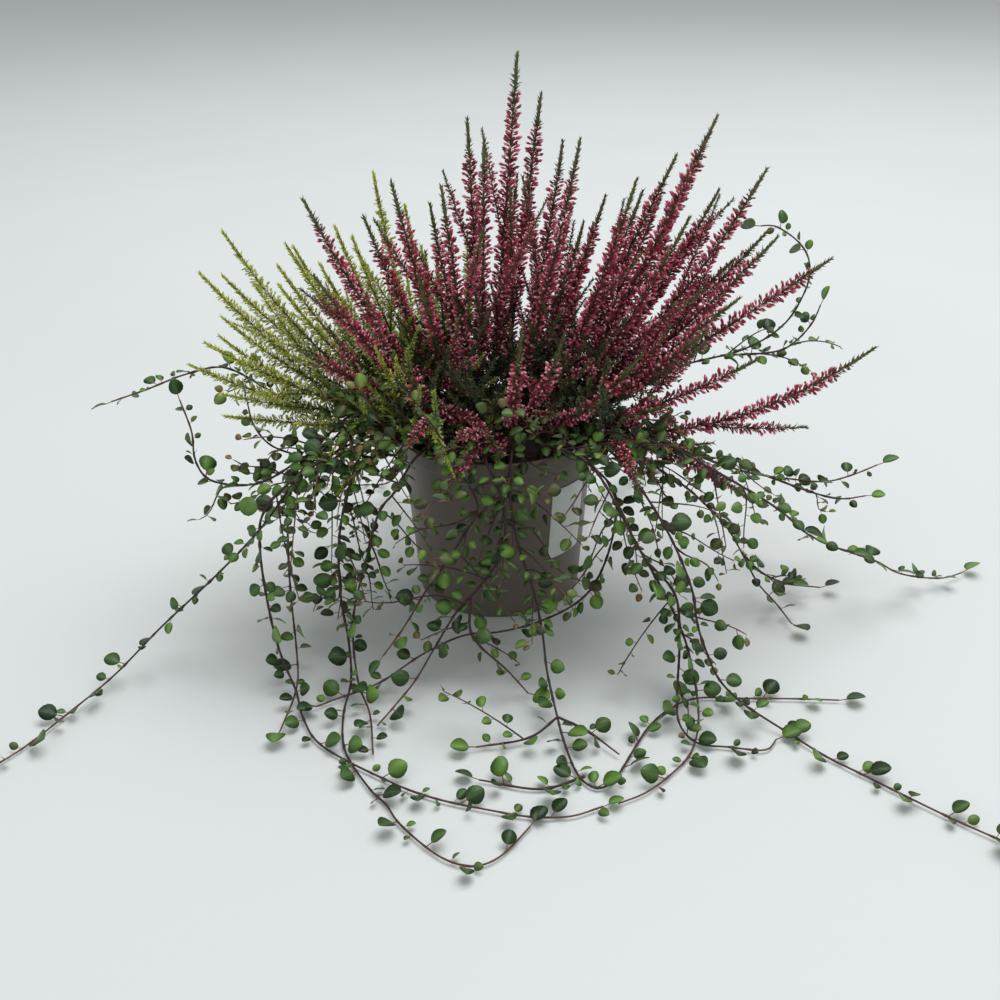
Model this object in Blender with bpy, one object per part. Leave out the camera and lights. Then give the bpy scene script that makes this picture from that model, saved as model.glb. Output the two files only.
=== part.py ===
"""Potted heather: pink bud heather, white bud heather and a trailing wire vine growing in one plastic pot.

The origin is the centre of the pot's foot, on the surface that it stands on. +X is the plant's right as it is
looked at, +Y its back and +Z up. Lengths are metres, except in the tables whose names end in _MM.
"""
import math
import random

import bmesh
import bpy
import numpy as np
from mathutils import Matrix, Vector, geometry
from mathutils.bvhtree import BVHTree

MM = 0.001
CLEAR = 0.0003                    # gap that a piece keeps to its neighbour

# The pot: a plain tapered shell with a rim band and drain holes
POT_HEIGHT = 0.115
POT_FOOT_RADIUS = 0.054
POT_TOP_RADIUS = 0.0632           # of the wall, just under the rim band
POT_RIM_RADIUS = 0.065
POT_RIM_DEPTH = 0.011
POT_WALL = 0.0015
POT_FLOOR = 0.002
POT_EDGE = 0.0006                 # small chamfer at the foot and the rim
POT_SIDES = 32
DRAIN_HOLES = 4
DRAIN_RADIUS = 0.004
DRAIN_CIRCLE = 0.036

# The soil that fills the pot
SOIL_TOP = 0.105
SOIL_RELIEF = 0.0012
SOIL_WAVES = (190, 160)           # radians per metre of the relief along X and Y
SOIL_RINGS = (0.62,)              # rings of the top face, as shares of its radius
HOLE_SIDES = 4
HOLE_DEPTH = 0.014

# The heather
STUB_RADIUS = 0.0022              # woody foot of a spray, where its shoots fork
STUB_RISE = 0.012                 # how far the foot stands out of the soil
FORK_CIRCLE = 0.0011              # the shoots leave the foot on this circle
STEM_RADIUS = 0.0009
FLORET_RADIUS = {"pink": 0.0060, "white": 0.0054}
LEAFY_RADIUS = 0.0026             # radius of the first leafy stretch
LEAFY_FROM = 0.018                # length of bare stem under it
FULL_FROM = 0.062                 # length at which the florets reach their full radius
TIP_SHARE = 0.20                  # share of a shoot that tapers to its green tip
TIP_RADIUS = 0.0018
CORE_SHARE = 0.56                 # radius of the core that the florets stand out of
LEAST_CORE = 0.0004
LAST_BAND = 0.97                  # the bands end here and the tip closes in a point
BAND_LENGTH = 0.0205              # length of one band of six florets
MOST_BANDS = 7
FLORET_LEAN = 0.22                # florets point up the shoot by this share of a band
BEND_REACH = 0.55                 # how far out a shoot's bend lies, as a share of its reach
SAMPLES = 24                      # points along a shoot where its room is tested
ROOM_GAP = 0.0008
SETTLE_ROUNDS = 60
SETTLE_SHARE = 0.10               # share of a shortfall that one round takes away
SETTLE_WAYS = (0.35, 1.0, 0.35)   # shoots give way towards the front or back more than sideways or up
LEAST_RADIUS = 0.0005
RADIUS_RISE = 0.001               # most that the radius grows from one sample to the next

# The vine
VINE_RADIUS = 0.0010
VINE_TIP_RADIUS = 0.0006
VINE_HOLE = 0.0020
VINE_HELD = 3                     # points of a route that stay where they are, straight up out of the soil
ROUTE_PARTS = 12                  # parts of each stretch of a route while it is smoothed
ROUTE_STEP = 0.005                # between the points of a route that are bent clear
ROUTE_ROUNDS = 60
ROUTE_SHARE = 0.6                 # share of a shortfall that one round takes away
ROUTE_SOFTEN = 0.4                # how much of a bend is spread along the route each round
CHAIN_STEP = 0.003                # between the balls that stand for a stem
VINE_GAP = 0.0018
POT_GAP = 0.0012
GROUND_GAP = 0.0008
RIM_INSIDE = 0.008                # a stem is over the rim from here inwards to its outer edge
RIM_UNDER = 0.004                 # and lies on it if it is no further below its top
SHOOT_GAP = 0.0006
STUB_ROOM = 1.3                   # a foot's square reaches this much further than its radius
UPRIGHT_PULL = 0.35               # how strongly a stem's upper side turns back towards upright
NEAR_STEPS = (0.009, 0.009, 0.010, 0.012)   # first spans of a stem, where it turns over the rim
SPAN = 0.0215                     # further spans, from one leaf to the next
JOINT_LENGTH = 0.0022             # short span that a leaf grows from
LEAF_LENGTH = 0.0145
LEAF_WIDTH = 0.0115
LEAF_WIDEST = 0.56                # share of the length where the leaf is widest
LEAF_THICKNESS = 0.0010           # of the ridge near the leaf's middle, and of a leaf that stays a bud
LEAF_ROOM = 0.6                   # share of a leaf's size that it keeps free round its middle
LEAF_SIZES = (0.78, 1.15)         # smallest and largest leaf, as shares of the sizes above
LEAF_SPREAD = (45, 80)            # degrees between the stem and a leaf
LEAF_ROLL = 30                    # degrees that a leaf is turned about its length, at most
LEAF_RIDGE = 0.0004               # how far the tip stands out of the leaf's plane
ROLL_TRIES = (1.0, 0.5, 0.0, -0.5, -1.0)    # shares of the roll, tried until no face of the leaf cuts another
LOW_STEM = 0.020                  # below this height a leaf points up by at least LOW_LEAF_RISE
LOW_LEAF_RISE = 0.25
LEAF_SEED = 11

# The blank label on the pot's side
LABEL_WIDTH = 0.030
LABEL_HEIGHT = 0.050
LABEL_THICKNESS = 0.0006
LABEL_LOW = 0.040
LABEL_TURN = math.radians(-42)    # measured from +X
LABEL_STEPS = 5

COLOURS = {
    "pot": ((0.105, 0.090, 0.083, 1.0), 0.50),
    "soil": ((0.030, 0.021, 0.015, 1.0), 0.95),
    "pink": ((0.420, 0.030, 0.085, 1.0), 0.65),
    "white": ((0.520, 0.560, 0.220, 1.0), 0.65),
    "vine": ((0.065, 0.145, 0.040, 1.0), 0.55),
    "label": ((0.800, 0.800, 0.780, 1.0), 0.60),
}

# Each spray: the place of its foot on the soil (x, y), then its shoots as tip (x, y, z) and lift. The lift
# is the height of the shoot's bend as a share of its rise: low for one that leaves sideways, then turns up.
PINK_SPRAYS_MM = (
    ((-26, -8), ((-110, -20, 265, 0.38), (-105, -35, 225, 0.34), (-115, -50, 185, 0.55))),
    ((-20, 3), ((-80, 20, 245, 0.42), (-60, 0, 270, 0.42), (-45, -25, 220, 0.42))),
    ((-11, -3), ((-30, -15, 270, 0.45), (-38, 2, 256, 0.45), (-5, -5, 295, 0.45))),
    ((-6, 12), ((-15, 30, 300, 0.45), (15, 5, 340, 0.45), (15, 40, 265, 0.45))),
    ((5, 3), ((30, 20, 315, 0.45), (40, 10, 290, 0.45), (50, -10, 295, 0.42))),
    ((12, 15), ((50, 35, 245, 0.42), (55, 20, 240, 0.42), (70, 45, 250, 0.42))),
    ((4, -14), ((15, -65, 200, 0.05), (40, -60, 195, 0.10), (0, -80, 125, 0.75), (65, -70, 160, 0.30))),
    ((-17, -14), ((-55, -55, 175, 0.30), (-38, -62, 160, 0.40))),
    ((29, 4), ((85, 0, 270, 0.42), (90, 10, 260, 0.42), (115, 25, 275, 0.42))),
    ((37, 11), ((105, 40, 250, 0.42), (125, 20, 290, 0.42), (130, 0, 305, 0.42))),
    ((39, -2), ((115, -15, 250, 0.42), (135, 10, 260, 0.42), (160, 0, 275, 0.42))),
    ((49, 9), ((170, 25, 230, 0.45), (170, -5, 235, 0.45), (150, 15, 215, 0.50))),
    ((48, -5), ((200, -15, 225, 0.55), (145, -30, 205, 0.50), (125, -40, 190, 0.50))),
    ((43, -18), ((219, -60, 184, -0.10), (155, -50, 175, 0.35), (100, -60, 150, 0.45))),
    ((33, -27), ((85, -55, 180, 0.35), (100, -65, 120, 4.00), (155, -65, 88, -0.40))),
    ((-2, 25), ((-34, 110, 180, 0.40), (8, 126, 188, 0.40), (44, 104, 200, 0.40))),
    ((27, 23), ((80, 116, 180, 0.40), (122, 94, 180, 0.40), (66, 75, 225, 0.40))),
    ((16, 40), ((30, 138, 152, 0.45), (60, 126, 162, 0.40), (2, 134, 142, 0.45))),
)
WHITE_SPRAYS_MM = (
    ((-54, 12), ((-165, 10, 240, 0.22), (-178, -10, 218, 0.22), (-172, 24, 208, 0.30))),
    ((-52, 2), ((-165, -20, 195, 0.25), (-172, -40, 185, 0.25), (-170, -2, 180, 0.30))),
    ((-47, -8), ((-185, -30, 170, 0.40), (-165, -42, 140, 0.40), (-120, -55, 140, 0.45))),
    ((-50, 22), ((-130, 20, 228, 0.30), (-128, 37, 222, 0.30), (-134, 8, 218, 0.30))),
    ((-43, 4), ((-130, -12, 212, 0.30), (-95, -30, 210, 0.35))),
    ((-41, 15), ((-100, 35, 235, 0.35), (-88, 22, 232, 0.35), (-108, 12, 218, 0.35))),
    ((-38, 26), ((-75, 55, 265, 0.40), (-58, 48, 245, 0.40), (-70, 64, 215, 0.40))),
    ((-28, 31), ((-48, 62, 215, 0.40), (-10, 55, 250, 0.40), (-38, 45, 218, 0.40))),
    ((-38, -12), ((-70, -50, 185, 0.30), (-50, -65, 145, 0.45), (-35, -62, 132, 0.60),
                  (-100, -80, 98, -0.50))),
    ((-46, 32), ((-118, 70, 178, 0.35), (-92, 110, 165, 0.35), (-62, 104, 185, 0.35))),
    ((-18, 44), ((-50, 128, 138, 0.45), (-80, 118, 146, 0.40), (-30, 112, 168, 0.40))),
)

# Each vine: its stems as routes (x, y, z). The first stem starts in the soil, a further one on the stem
# before it that its first point lies nearest to.
VINES_MM = (
    (((-55, -12, 105), (-61, -15, 120), (-80, -24, 133), (-102, -50, 131), (-120, -82, 114),
      (-140, -95, 90), (-170, -93, 58), (-205, -103, 28), (-230, -125, 9), (-250, -155, 3),
      (-266, -185, 2), (-282, -206, 2)),),
    (((-46, -26, 105), (-52, -31, 120), (-80, -56, 130), (-115, -84, 120), (-135, -101, 105),
      (-139, -106, 80), (-136, -113, 42), (-130, -122, 18), (-120, -140, 7), (-112, -164, 3),
      (-98, -187, 2), (-60, -216, 2), (-35, -230, 2), (-5, -240, 2), (15, -245, 2), (35, -245, 2),
      (52, -238, 2)),
     ((-76, -50, 130), (-85, -72, 118), (-95, -85, 82), (-96, -96, 45), (-91, -112, 22), (-88, -135, 9),
      (-90, -160, 4), (-86, -190, 2), (-70, -221, 2), (-60, -234, 2), (-53, -247, 2), (-40, -263, 2),
      (-28, -274, 2), (-15, -279, 2), (-4, -275, 2), (5, -265, 2), (14, -252, 2))),
    (((-51, -19, 105), (-58, -23, 120), (-84, -42, 136), (-105, -62, 124), (-124, -74, 104),
      (-128, -76, 75), (-128, -86, 40), (-124, -106, 14), (-120, -135, 5), (-124, -172, 3)),
     ((-105, -62, 124), (-118, -52, 116), (-148, -50, 98), (-176, -50, 100), (-186, -46, 112),
      (-187, -42, 130), (-192, -40, 150))),
    (((-30, -38, 105), (-34, -47, 121), (-48, -70, 124), (-60, -88, 110), (-70, -92, 98), (-80, -96, 65),
      (-88, -108, 33), (-84, -135, 10), (-75, -160, 4), (-70, -195, 3)),),
    (((6, -46, 105), (6, -54, 120), (5, -72, 120), (10, -90, 82), (20, -110, 55), (25, -126, 35),
      (27, -142, 20), (31, -165, 9), (35, -190, 4), (41, -214, 2), (50, -224, 2), (60, -217, 2),
      (75, -188, 2), (84, -172, 2), (98, -156, 2), (115, -147, 2), (140, -148, 2), (170, -149, 2),
      (196, -151, 2)),
     ((32, -180, 6), (15, -184, 4), (-14, -190, 3)),
     ((44, -222, 2), (20, -224, 2), (-12, -216, 2)),
     ((33, -170, 8), (48, -180, 5), (64, -198, 3))),
    (((37, -42, 105), (42, -49, 120), (52, -74, 124), (64, -100, 114), (80, -115, 86), (95, -122, 60),
      (106, -134, 38), (111, -146, 20), (112, -160, 11), (110, -178, 5), (103, -197, 2), (90, -214, 2),
      (75, -228, 2), (60, -236, 2)),
     ((90, -120, 70), (102, -124, 58), (104, -136, 32), (101, -156, 13), (100, -174, 5), (108, -188, 2),
      (125, -192, 2), (144, -195, 2), (152, -186, 2))),
    (((46, -33, 105), (51, -38, 120), (64, -62, 126), (80, -90, 116), (98, -112, 92), (110, -128, 66),
      (113, -138, 48), (117, -146, 36), (124, -156, 22), (135, -165, 13), (147, -172, 7), (160, -182, 3),
      (175, -200, 2), (190, -215, 2), (225, -249, 2), (252, -272, 2)),),
    (((55, -14, 105), (60, -16, 120), (80, -34, 128), (112, -62, 120), (150, -84, 104), (172, -77, 86),
      (187, -70, 70), (205, -62, 56), (225, -55, 45), (245, -46, 33), (262, -38, 20), (284, -28, 10),
      (302, -20, 5), (316, -12, 4)),),
    (((57, 1, 105), (62, 1, 120), (84, 2, 116), (108, 0, 101), (135, 5, 86), (168, 5, 74), (192, 4, 70),
      (220, 6, 66), (240, 10, 69), (256, 12, 75)),
     ((188, 4, 70), (210, -2, 62), (228, -8, 60), (243, -12, 64))),
    (((50, -25, 105), (53, -27, 120), (75, -40, 126), (100, -52, 106), (122, -48, 86), (145, -44, 60),
      (157, -44, 40), (168, -48, 20), (180, -56, 8), (186, -72, 4)),
     ((160, -44, 35), (172, -38, 22), (190, -36, 12), (214, -32, 6))),
    (((50, 20, 105), (54, 22, 120), (80, 34, 122), (108, 42, 127), (130, 47, 136), (155, 50, 141),
      (170, 50, 146), (184, 50, 154), (195, 49, 165), (202, 47, 180), (205, 44, 195), (202, 40, 210),
      (193, 37, 222), (178, 34, 232), (168, 32, 233)),
     ((162, 50, 143), (190, 55, 141), (205, 58, 148), (215, 60, 160), (219, 60, 172))),
    (((-57, 2, 105), (-62, 2, 120), (-84, 0, 119), (-112, -2, 121), (-140, -2, 137), (-170, -2, 156),
      (-195, -6, 154), (-220, -11, 146), (-242, -16, 140)),),
    (((-40, -31, 105), (-44, -37, 121), (-64, -58, 127), (-84, -70, 132), (-104, -56, 116),
      (-126, -42, 114), (-140, -44, 122), (-148, -45, 136), (-150, -45, 150)),),
    (((-4, -48, 105), (-5, -55, 120), (-4, -72, 120), (4, -86, 96), (2, -94, 72), (-9, -102, 56),
      (-25, -112, 42), (-38, -125, 26), (-50, -140, 12), (-62, -155, 5), (-72, -170, 3)),
     ((-25, -112, 42), (-16, -124, 32), (4, -136, 16), (16, -148, 8))),
    (((-17, -46, 105), (-20, -54, 120), (-26, -70, 121), (-12, -84, 98), (-22, -92, 80), (-32, -98, 66),
      (-42, -108, 56), (-56, -122, 38), (-68, -134, 26)),),
    (((24, -46, 105), (28, -53, 121), (46, -66, 122), (72, -50, 90), (72, -56, 62), (62, -74, 42),
      (48, -88, 32), (24, -100, 26), (0, -106, 23), (-22, -108, 22), (-46, -118, 16), (-70, -134, 8),
      (-92, -142, 4), (-106, -150, 3)),),
    (((20, 50, 105), (22, 57, 120), (28, 78, 118), (36, 98, 92), (40, 116, 50), (38, 138, 16),
      (28, 160, 4), (8, 178, 2), (-16, 184, 2)),
     ((36, 98, 92), (60, 108, 70), (84, 122, 34), (104, 140, 9), (124, 158, 3))),
    (((-22, 50, 105), (-25, 57, 120), (-40, 78, 118), (-56, 96, 88), (-68, 112, 46), (-84, 128, 12),
      (-106, 140, 3), (-132, 142, 2)),),
)


def clear_scene():
    """Empty the scene, so that the script gives the same model each run."""
    for obj in list(bpy.data.objects):
        bpy.data.objects.remove(obj, do_unlink=True)


def make_material(name):
    colour, roughness = COLOURS[name]
    mat = bpy.data.materials.new(name)
    mat.use_nodes = True
    shader = mat.node_tree.nodes["Principled BSDF"]
    shader.inputs["Base Color"].default_value = colour
    shader.inputs["Roughness"].default_value = roughness
    shader.inputs["Metallic"].default_value = 0.0
    mat.diffuse_color = colour
    return mat


def make_object(name, bm, mat=None):
    """Turn a bmesh into a linked object at the origin."""
    bmesh.ops.recalc_face_normals(bm, faces=bm.faces)
    mesh = bpy.data.meshes.new(name)
    bm.to_mesh(mesh)
    bm.free()
    obj = bpy.data.objects.new(name, mesh)
    bpy.context.scene.collection.objects.link(obj)
    if mat is not None:
        mesh.materials.append(mat)
    return obj


def box_of(meshes):
    """The lowest and highest coordinates of a list of meshes at the origin."""
    points = np.array([v.co for mesh in meshes for v in mesh.vertices])
    return np.concatenate((points.min(axis=0), points.max(axis=0)))


def is_sound(mesh, box):
    """Whether a Boolean's result fills its expected box and every edge of it has exactly two faces."""
    if not mesh.vertices or np.abs(box_of([mesh]) - box).max() > CLEAR:
        return False
    bm = bmesh.new()
    bm.from_mesh(mesh)
    closed = all(len(edge.link_faces) == 2 for edge in bm.edges)
    bm.free()
    return closed


def boolean(obj, cutters, operation):
    """Join or cut obj with a list of objects in one Boolean, apply it and remove them."""
    joining = cutters if operation == "UNION" else []
    box = box_of([obj.data] + [cutter.data for cutter in joining])
    group = bpy.data.collections.new(obj.name + "_cutters")
    bpy.context.scene.collection.children.link(group)
    for cutter in cutters:
        bpy.context.scene.collection.objects.unlink(cutter)
        group.objects.link(cutter)
    modifier = obj.modifiers.new("join", "BOOLEAN")
    modifier.operation = operation
    modifier.operand_type = "COLLECTION"
    modifier.collection = group
    for solver in ("EXACT", "MANIFOLD"):
        modifier.solver = solver
        depsgraph = bpy.context.evaluated_depsgraph_get()
        joined = bpy.data.meshes.new_from_object(obj.evaluated_get(depsgraph))
        if is_sound(joined, box):
            break
    else:
        raise RuntimeError("the Boolean on %s failed" % obj.name)
    obj.modifiers.clear()
    old = obj.data
    obj.data = joined
    bpy.data.meshes.remove(old)
    joined.name = obj.name
    for cutter in list(group.objects):
        bpy.data.objects.remove(cutter, do_unlink=True)
    bpy.data.collections.remove(group)


def revolve(profile, sides):
    """Spin a profile of (radius, z) points round the Z axis into a closed skin."""
    bm = bmesh.new()
    verts = [bm.verts.new((radius, 0.0, z)) for radius, z in profile]
    edges = [bm.edges.new(pair) for pair in zip(verts, verts[1:])]
    bmesh.ops.spin(bm, geom=verts + edges, cent=(0, 0, 0), axis=(0, 0, 1), angle=math.tau, steps=sides,
                   use_merge=True, use_duplicate=False)
    bmesh.ops.remove_doubles(bm, verts=bm.verts, dist=1e-6)
    return bm


def prism(radius, sides, low, high, centre=(0.0, 0.0), turn=0.0):
    """An upright prism between two heights."""
    bm = bmesh.new()
    place = Matrix.Translation((centre[0], centre[1], (low + high) / 2)) @ Matrix.Rotation(turn, 4, "Z")
    bmesh.ops.create_cone(bm, cap_ends=True, segments=sides, radius1=radius, radius2=radius, depth=high - low,
                          matrix=place)
    return bm


def wall_radius(z):
    """Outer radius of the pot's wall at a height."""
    return POT_FOOT_RADIUS + (POT_TOP_RADIUS - POT_FOOT_RADIUS) * z / POT_HEIGHT


def build_pot(mat):
    rim_low = POT_HEIGHT - POT_RIM_DEPTH
    inner_foot = wall_radius(POT_FLOOR) - POT_WALL
    inner_top = wall_radius(POT_HEIGHT) - POT_WALL
    profile = (
        (0.0, 0.0), (POT_FOOT_RADIUS - POT_EDGE, 0.0), (POT_FOOT_RADIUS, POT_EDGE),
        (wall_radius(rim_low), rim_low), (POT_RIM_RADIUS, rim_low + POT_EDGE),
        (POT_RIM_RADIUS, POT_HEIGHT - POT_EDGE), (POT_RIM_RADIUS - POT_EDGE, POT_HEIGHT),
        (inner_top, POT_HEIGHT), (inner_foot, POT_FLOOR), (0.0, POT_FLOOR),
    )
    pot = make_object("pot", revolve(profile, POT_SIDES), mat)
    holes = []
    for k in range(DRAIN_HOLES):
        turn = math.tau * (k + 0.5) / DRAIN_HOLES
        centre = (DRAIN_CIRCLE * math.cos(turn), DRAIN_CIRCLE * math.sin(turn))
        holes.append(make_object("drain", prism(DRAIN_RADIUS, 8, -POT_FLOOR, 2 * POT_FLOOR, centre)))
    boolean(pot, holes, "DIFFERENCE")
    return pot


def build_soil(mat, feet):
    """The potting soil, with a plain hole for each foot."""
    low = POT_FLOOR + CLEAR
    foot = wall_radius(low) - POT_WALL - 2 * CLEAR
    top = wall_radius(SOIL_TOP) - POT_WALL - 2 * CLEAR
    profile = [(0.0, low), (foot, low), (top, SOIL_TOP)]
    profile += [(share * top, SOIL_TOP) for share in SOIL_RINGS] + [(0.0, SOIL_TOP)]
    bm = revolve(profile, POT_SIDES)
    for v in bm.verts:
        if v.co.z > SOIL_TOP - CLEAR and v.co.xy.length < top - CLEAR:
            v.co.z += SOIL_RELIEF * math.sin(v.co.x * SOIL_WAVES[0]) * math.cos(v.co.y * SOIL_WAVES[1])
    soil = make_object("soil", bm, mat)
    holes = []
    for x, y, radius in feet:
        bm = prism(radius + 2 * CLEAR, HOLE_SIDES, SOIL_TOP - HOLE_DEPTH, SOIL_TOP + HOLE_DEPTH, (x, y))
        holes.append(make_object("hole", bm))
    boolean(soil, holes, "DIFFERENCE")
    return soil


def build_label(mat):
    """A blank label bent round the pot's side."""
    bm = bmesh.new()
    columns = []
    for k in range(LABEL_STEPS + 1):
        turn = LABEL_TURN + (k / LABEL_STEPS - 0.5) * LABEL_WIDTH / wall_radius(LABEL_LOW)
        column = []
        for z in (LABEL_LOW, LABEL_LOW + LABEL_HEIGHT):
            for depth in (CLEAR, CLEAR + LABEL_THICKNESS):
                radius = wall_radius(z) + depth
                column.append(bm.verts.new((radius * math.cos(turn), radius * math.sin(turn), z)))
        columns.append((column[0], column[1], column[3], column[2]))
    for a, b in zip(columns, columns[1:]):
        for k in range(4):
            bm.faces.new((a[k], a[(k + 1) % 4], b[(k + 1) % 4], b[k]))
    bm.faces.new(columns[0])
    bm.faces.new(columns[-1])
    return make_object("blank_label", bm, mat)


class Shoot:
    """One flowering shoot: a quadratic curve from its fork to its tip, and the room that its florets have."""

    def __init__(self, spray, kind, start, tip, lift):
        reach = tip - start
        self.spray = spray
        self.kind = kind
        self.start = start
        self.bend = start + reach * np.array((BEND_REACH, BEND_REACH, lift))
        self.tip = tip
        self.radii = None

    def point(self, t):
        return (1 - t) ** 2 * self.start + 2 * t * (1 - t) * self.bend + t * t * self.tip

    def tangent(self, t):
        run = (1 - t) * (self.bend - self.start) + t * (self.tip - self.bend)
        return run / np.linalg.norm(run)

    def samples(self):
        return np.array([self.point(t) for t in np.linspace(0, 1, SAMPLES)])

    def length(self):
        return float(np.linalg.norm(np.diff(self.samples(), axis=0), axis=1).sum())

    def wanted_radii(self):
        """The radius that the leaves and florets would like, thin at the foot and at the tip."""
        t = np.linspace(0, 1, SAMPLES)
        along = t * self.length()
        full = FLORET_RADIUS[self.kind]
        swell = np.clip((along - LEAFY_FROM) / (FULL_FROM - LEAFY_FROM), 0, 1)
        radii = np.where(along < LEAFY_FROM, STEM_RADIUS, LEAFY_RADIUS + (full - LEAFY_RADIUS) * swell)
        taper = np.clip((1 - t) / TIP_SHARE, 0, 1)
        return np.minimum(radii, TIP_RADIUS + (full - TIP_RADIUS) * taper)

    def radius(self, t):
        return float(np.interp(t, np.linspace(0, 1, SAMPLES), self.radii))


def plan_shoots():
    """Lay out every shoot from the two tables."""
    shoots = []
    feet = []
    for kind, table in (("pink", PINK_SPRAYS_MM), ("white", WHITE_SPRAYS_MM)):
        for number, (foot, tips) in enumerate(table, start=1):
            spray = "%s_heather_spray_%02d" % (kind, number)
            fork = np.array((foot[0] * MM, foot[1] * MM, SOIL_TOP + STUB_RISE))
            feet.append((spray, fork))
            aims = [np.array(tip[:3]) * MM - fork for tip in tips]
            aims = [aim / np.linalg.norm(aim) for aim in aims]
            middle = sum(aims) / len(aims)
            for tip, aim in zip(tips, aims):
                aside = (aim - middle)[:2]
                aside = aside / max(np.linalg.norm(aside), 1e-6) * FORK_CIRCLE
                start = fork + np.array((aside[0], aside[1], 0.0))
                shoots.append(Shoot(spray, kind, start, np.array(tip[:3]) * MM, tip[3]))
    return shoots, feet


def settle_shoots(shoots):
    """Bend shoots apart where they come too near each other, mostly towards the front or the back."""
    t = np.linspace(0, 1, SAMPLES)
    pull_bend = 2 * t * (1 - t)
    pull_tip = t * t
    owner = np.repeat(np.arange(len(shoots)), SAMPLES)
    foreign = owner[:, None] != owner[None, :]
    for _ in range(SETTLE_ROUNDS):
        points = np.concatenate([shoot.samples() for shoot in shoots])
        radii = np.concatenate([shoot.wanted_radii() for shoot in shoots])
        apart = points[:, None, :] - points[None, :, :]
        distance = np.sqrt((apart ** 2).sum(axis=2)) + 1e-9
        need = radii[:, None] + radii[None, :] + ROOM_GAP
        short = np.where(foreign & (distance < need), need - distance, 0.0)
        push = (apart / distance[:, :, None] * short[:, :, None]).sum(axis=1)
        push = push * SETTLE_SHARE * np.array(SETTLE_WAYS)
        for k, shoot in enumerate(shoots):
            own = push[k * SAMPLES:(k + 1) * SAMPLES]
            shoot.bend = shoot.bend + (own * pull_bend[:, None]).sum(axis=0)
            shoot.tip = shoot.tip + (own * pull_tip[:, None]).sum(axis=0)


def fit_radii(shoots):
    """Give each shoot the radius it has room for beside the shoots of other sprays."""
    for shoot in shoots:
        shoot.radii = shoot.wanted_radii()
    spray = np.repeat([shoot.spray for shoot in shoots], SAMPLES)
    points = np.concatenate([shoot.samples() for shoot in shoots])
    radii = np.concatenate([shoot.radii for shoot in shoots])
    distance = np.sqrt(((points[:, None, :] - points[None, :, :]) ** 2).sum(axis=2))
    distance[spray[:, None] == spray[None, :]] = 1.0
    share = radii[:, None] / (radii[:, None] + radii[None, :])
    fitted = np.minimum(radii, ((distance - ROOM_GAP) * share).min(axis=1))
    for k, shoot in enumerate(shoots):
        own = fitted[k * SAMPLES:(k + 1) * SAMPLES]
        beside = np.minimum(np.roll(own, 1), np.roll(own, -1))
        shoot.radii = np.maximum(np.minimum(own, beside + RADIUS_RISE), LEAST_RADIUS)


def cross_axes(tangent):
    """Two unit vectors square to a tangent."""
    side = np.cross(tangent, (0.0, 1.0, 0.0))
    side = side / np.linalg.norm(side)
    return side, np.cross(side, tangent)


def ring(bm, centre, tangent, radius, sides, turn):
    side, over = cross_axes(tangent)
    verts = []
    for k in range(sides):
        angle = turn + math.tau * k / sides
        verts.append(bm.verts.new(centre + radius * (math.cos(angle) * side + math.sin(angle) * over)))
    return verts


def shoot_mesh(shoot):
    """A three-sided core in twisted bands, with each face of a leafy band drawn out to a floret."""
    bm = bmesh.new()
    along = bm.verts.layers.float.new("along")
    length = shoot.length()
    leafy = LEAFY_FROM / length
    bands = max(3, min(MOST_BANDS, round((length - LEAFY_FROM) * LAST_BAND / BAND_LENGTH)))
    steps = [0.0] + [leafy + (LAST_BAND - leafy) * k / bands for k in range(bands + 1)]
    rings = []
    for number, t in enumerate(steps):
        radius = shoot.radius(t)
        if number >= 1:
            radius = max(radius * CORE_SHARE, LEAST_CORE)
        verts = ring(bm, shoot.point(t), shoot.tangent(t), radius, 3, number * math.pi / 3)
        for v in verts:
            v[along] = t
        rings.append(verts)
    florets = []
    for number, (a, b) in enumerate(zip(rings, rings[1:])):
        for k in range(3):
            after = (k + 1) % 3
            pair = (bm.faces.new((a[k], a[after], b[k])), bm.faces.new((b[k], a[after], b[after])))
            if number >= 1:
                florets.extend(pair)
    tip = bm.verts.new(shoot.tip)
    for k in range(3):
        bm.faces.new((rings[-1][k], rings[-1][(k + 1) % 3], tip))
    bm.faces.new(rings[0])
    lean = FLORET_LEAN * (LAST_BAND - leafy) / bands
    for v in bmesh.ops.poke(bm, faces=florets)["verts"]:
        t = sum(e.other_vert(v)[along] for e in v.link_edges) / len(v.link_edges)
        tangent = shoot.tangent(t)
        out = np.array(v.co) - shoot.point(t)
        out = out - tangent * out.dot(tangent)
        out = out / np.linalg.norm(out)
        v.co = shoot.point(t + lean) + out * shoot.radius(t + lean)
    return bm


def foot_mesh(place, radius, top):
    """The woody foot of a plant: a prism that stands in its hole and closes in a low point."""
    bm = prism(radius, HOLE_SIDES, SOIL_TOP - HOLE_DEPTH + CLEAR, top, place)
    high = [v for v in bm.verts if v.co.z > top - CLEAR]
    face = [f for f in bm.faces if all(v in high for v in f.verts)]
    for v in bmesh.ops.poke(bm, faces=face)["verts"]:
        v.co.z += radius
    return bm


def build_heather(mats):
    shoots, feet = plan_shoots()
    settle_shoots(shoots)
    fit_radii(shoots)
    for spray, fork in feet:
        kind = spray.split("_")[0]
        obj = make_object(spray, foot_mesh(fork[:2], STUB_RADIUS, fork[2]), mats[kind])
        own = [shoot for shoot in shoots if shoot.spray == spray]
        parts = [make_object("shoot", shoot_mesh(shoot)) for shoot in own]
        boolean(obj, parts, "UNION")
    return shoots, feet


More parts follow.
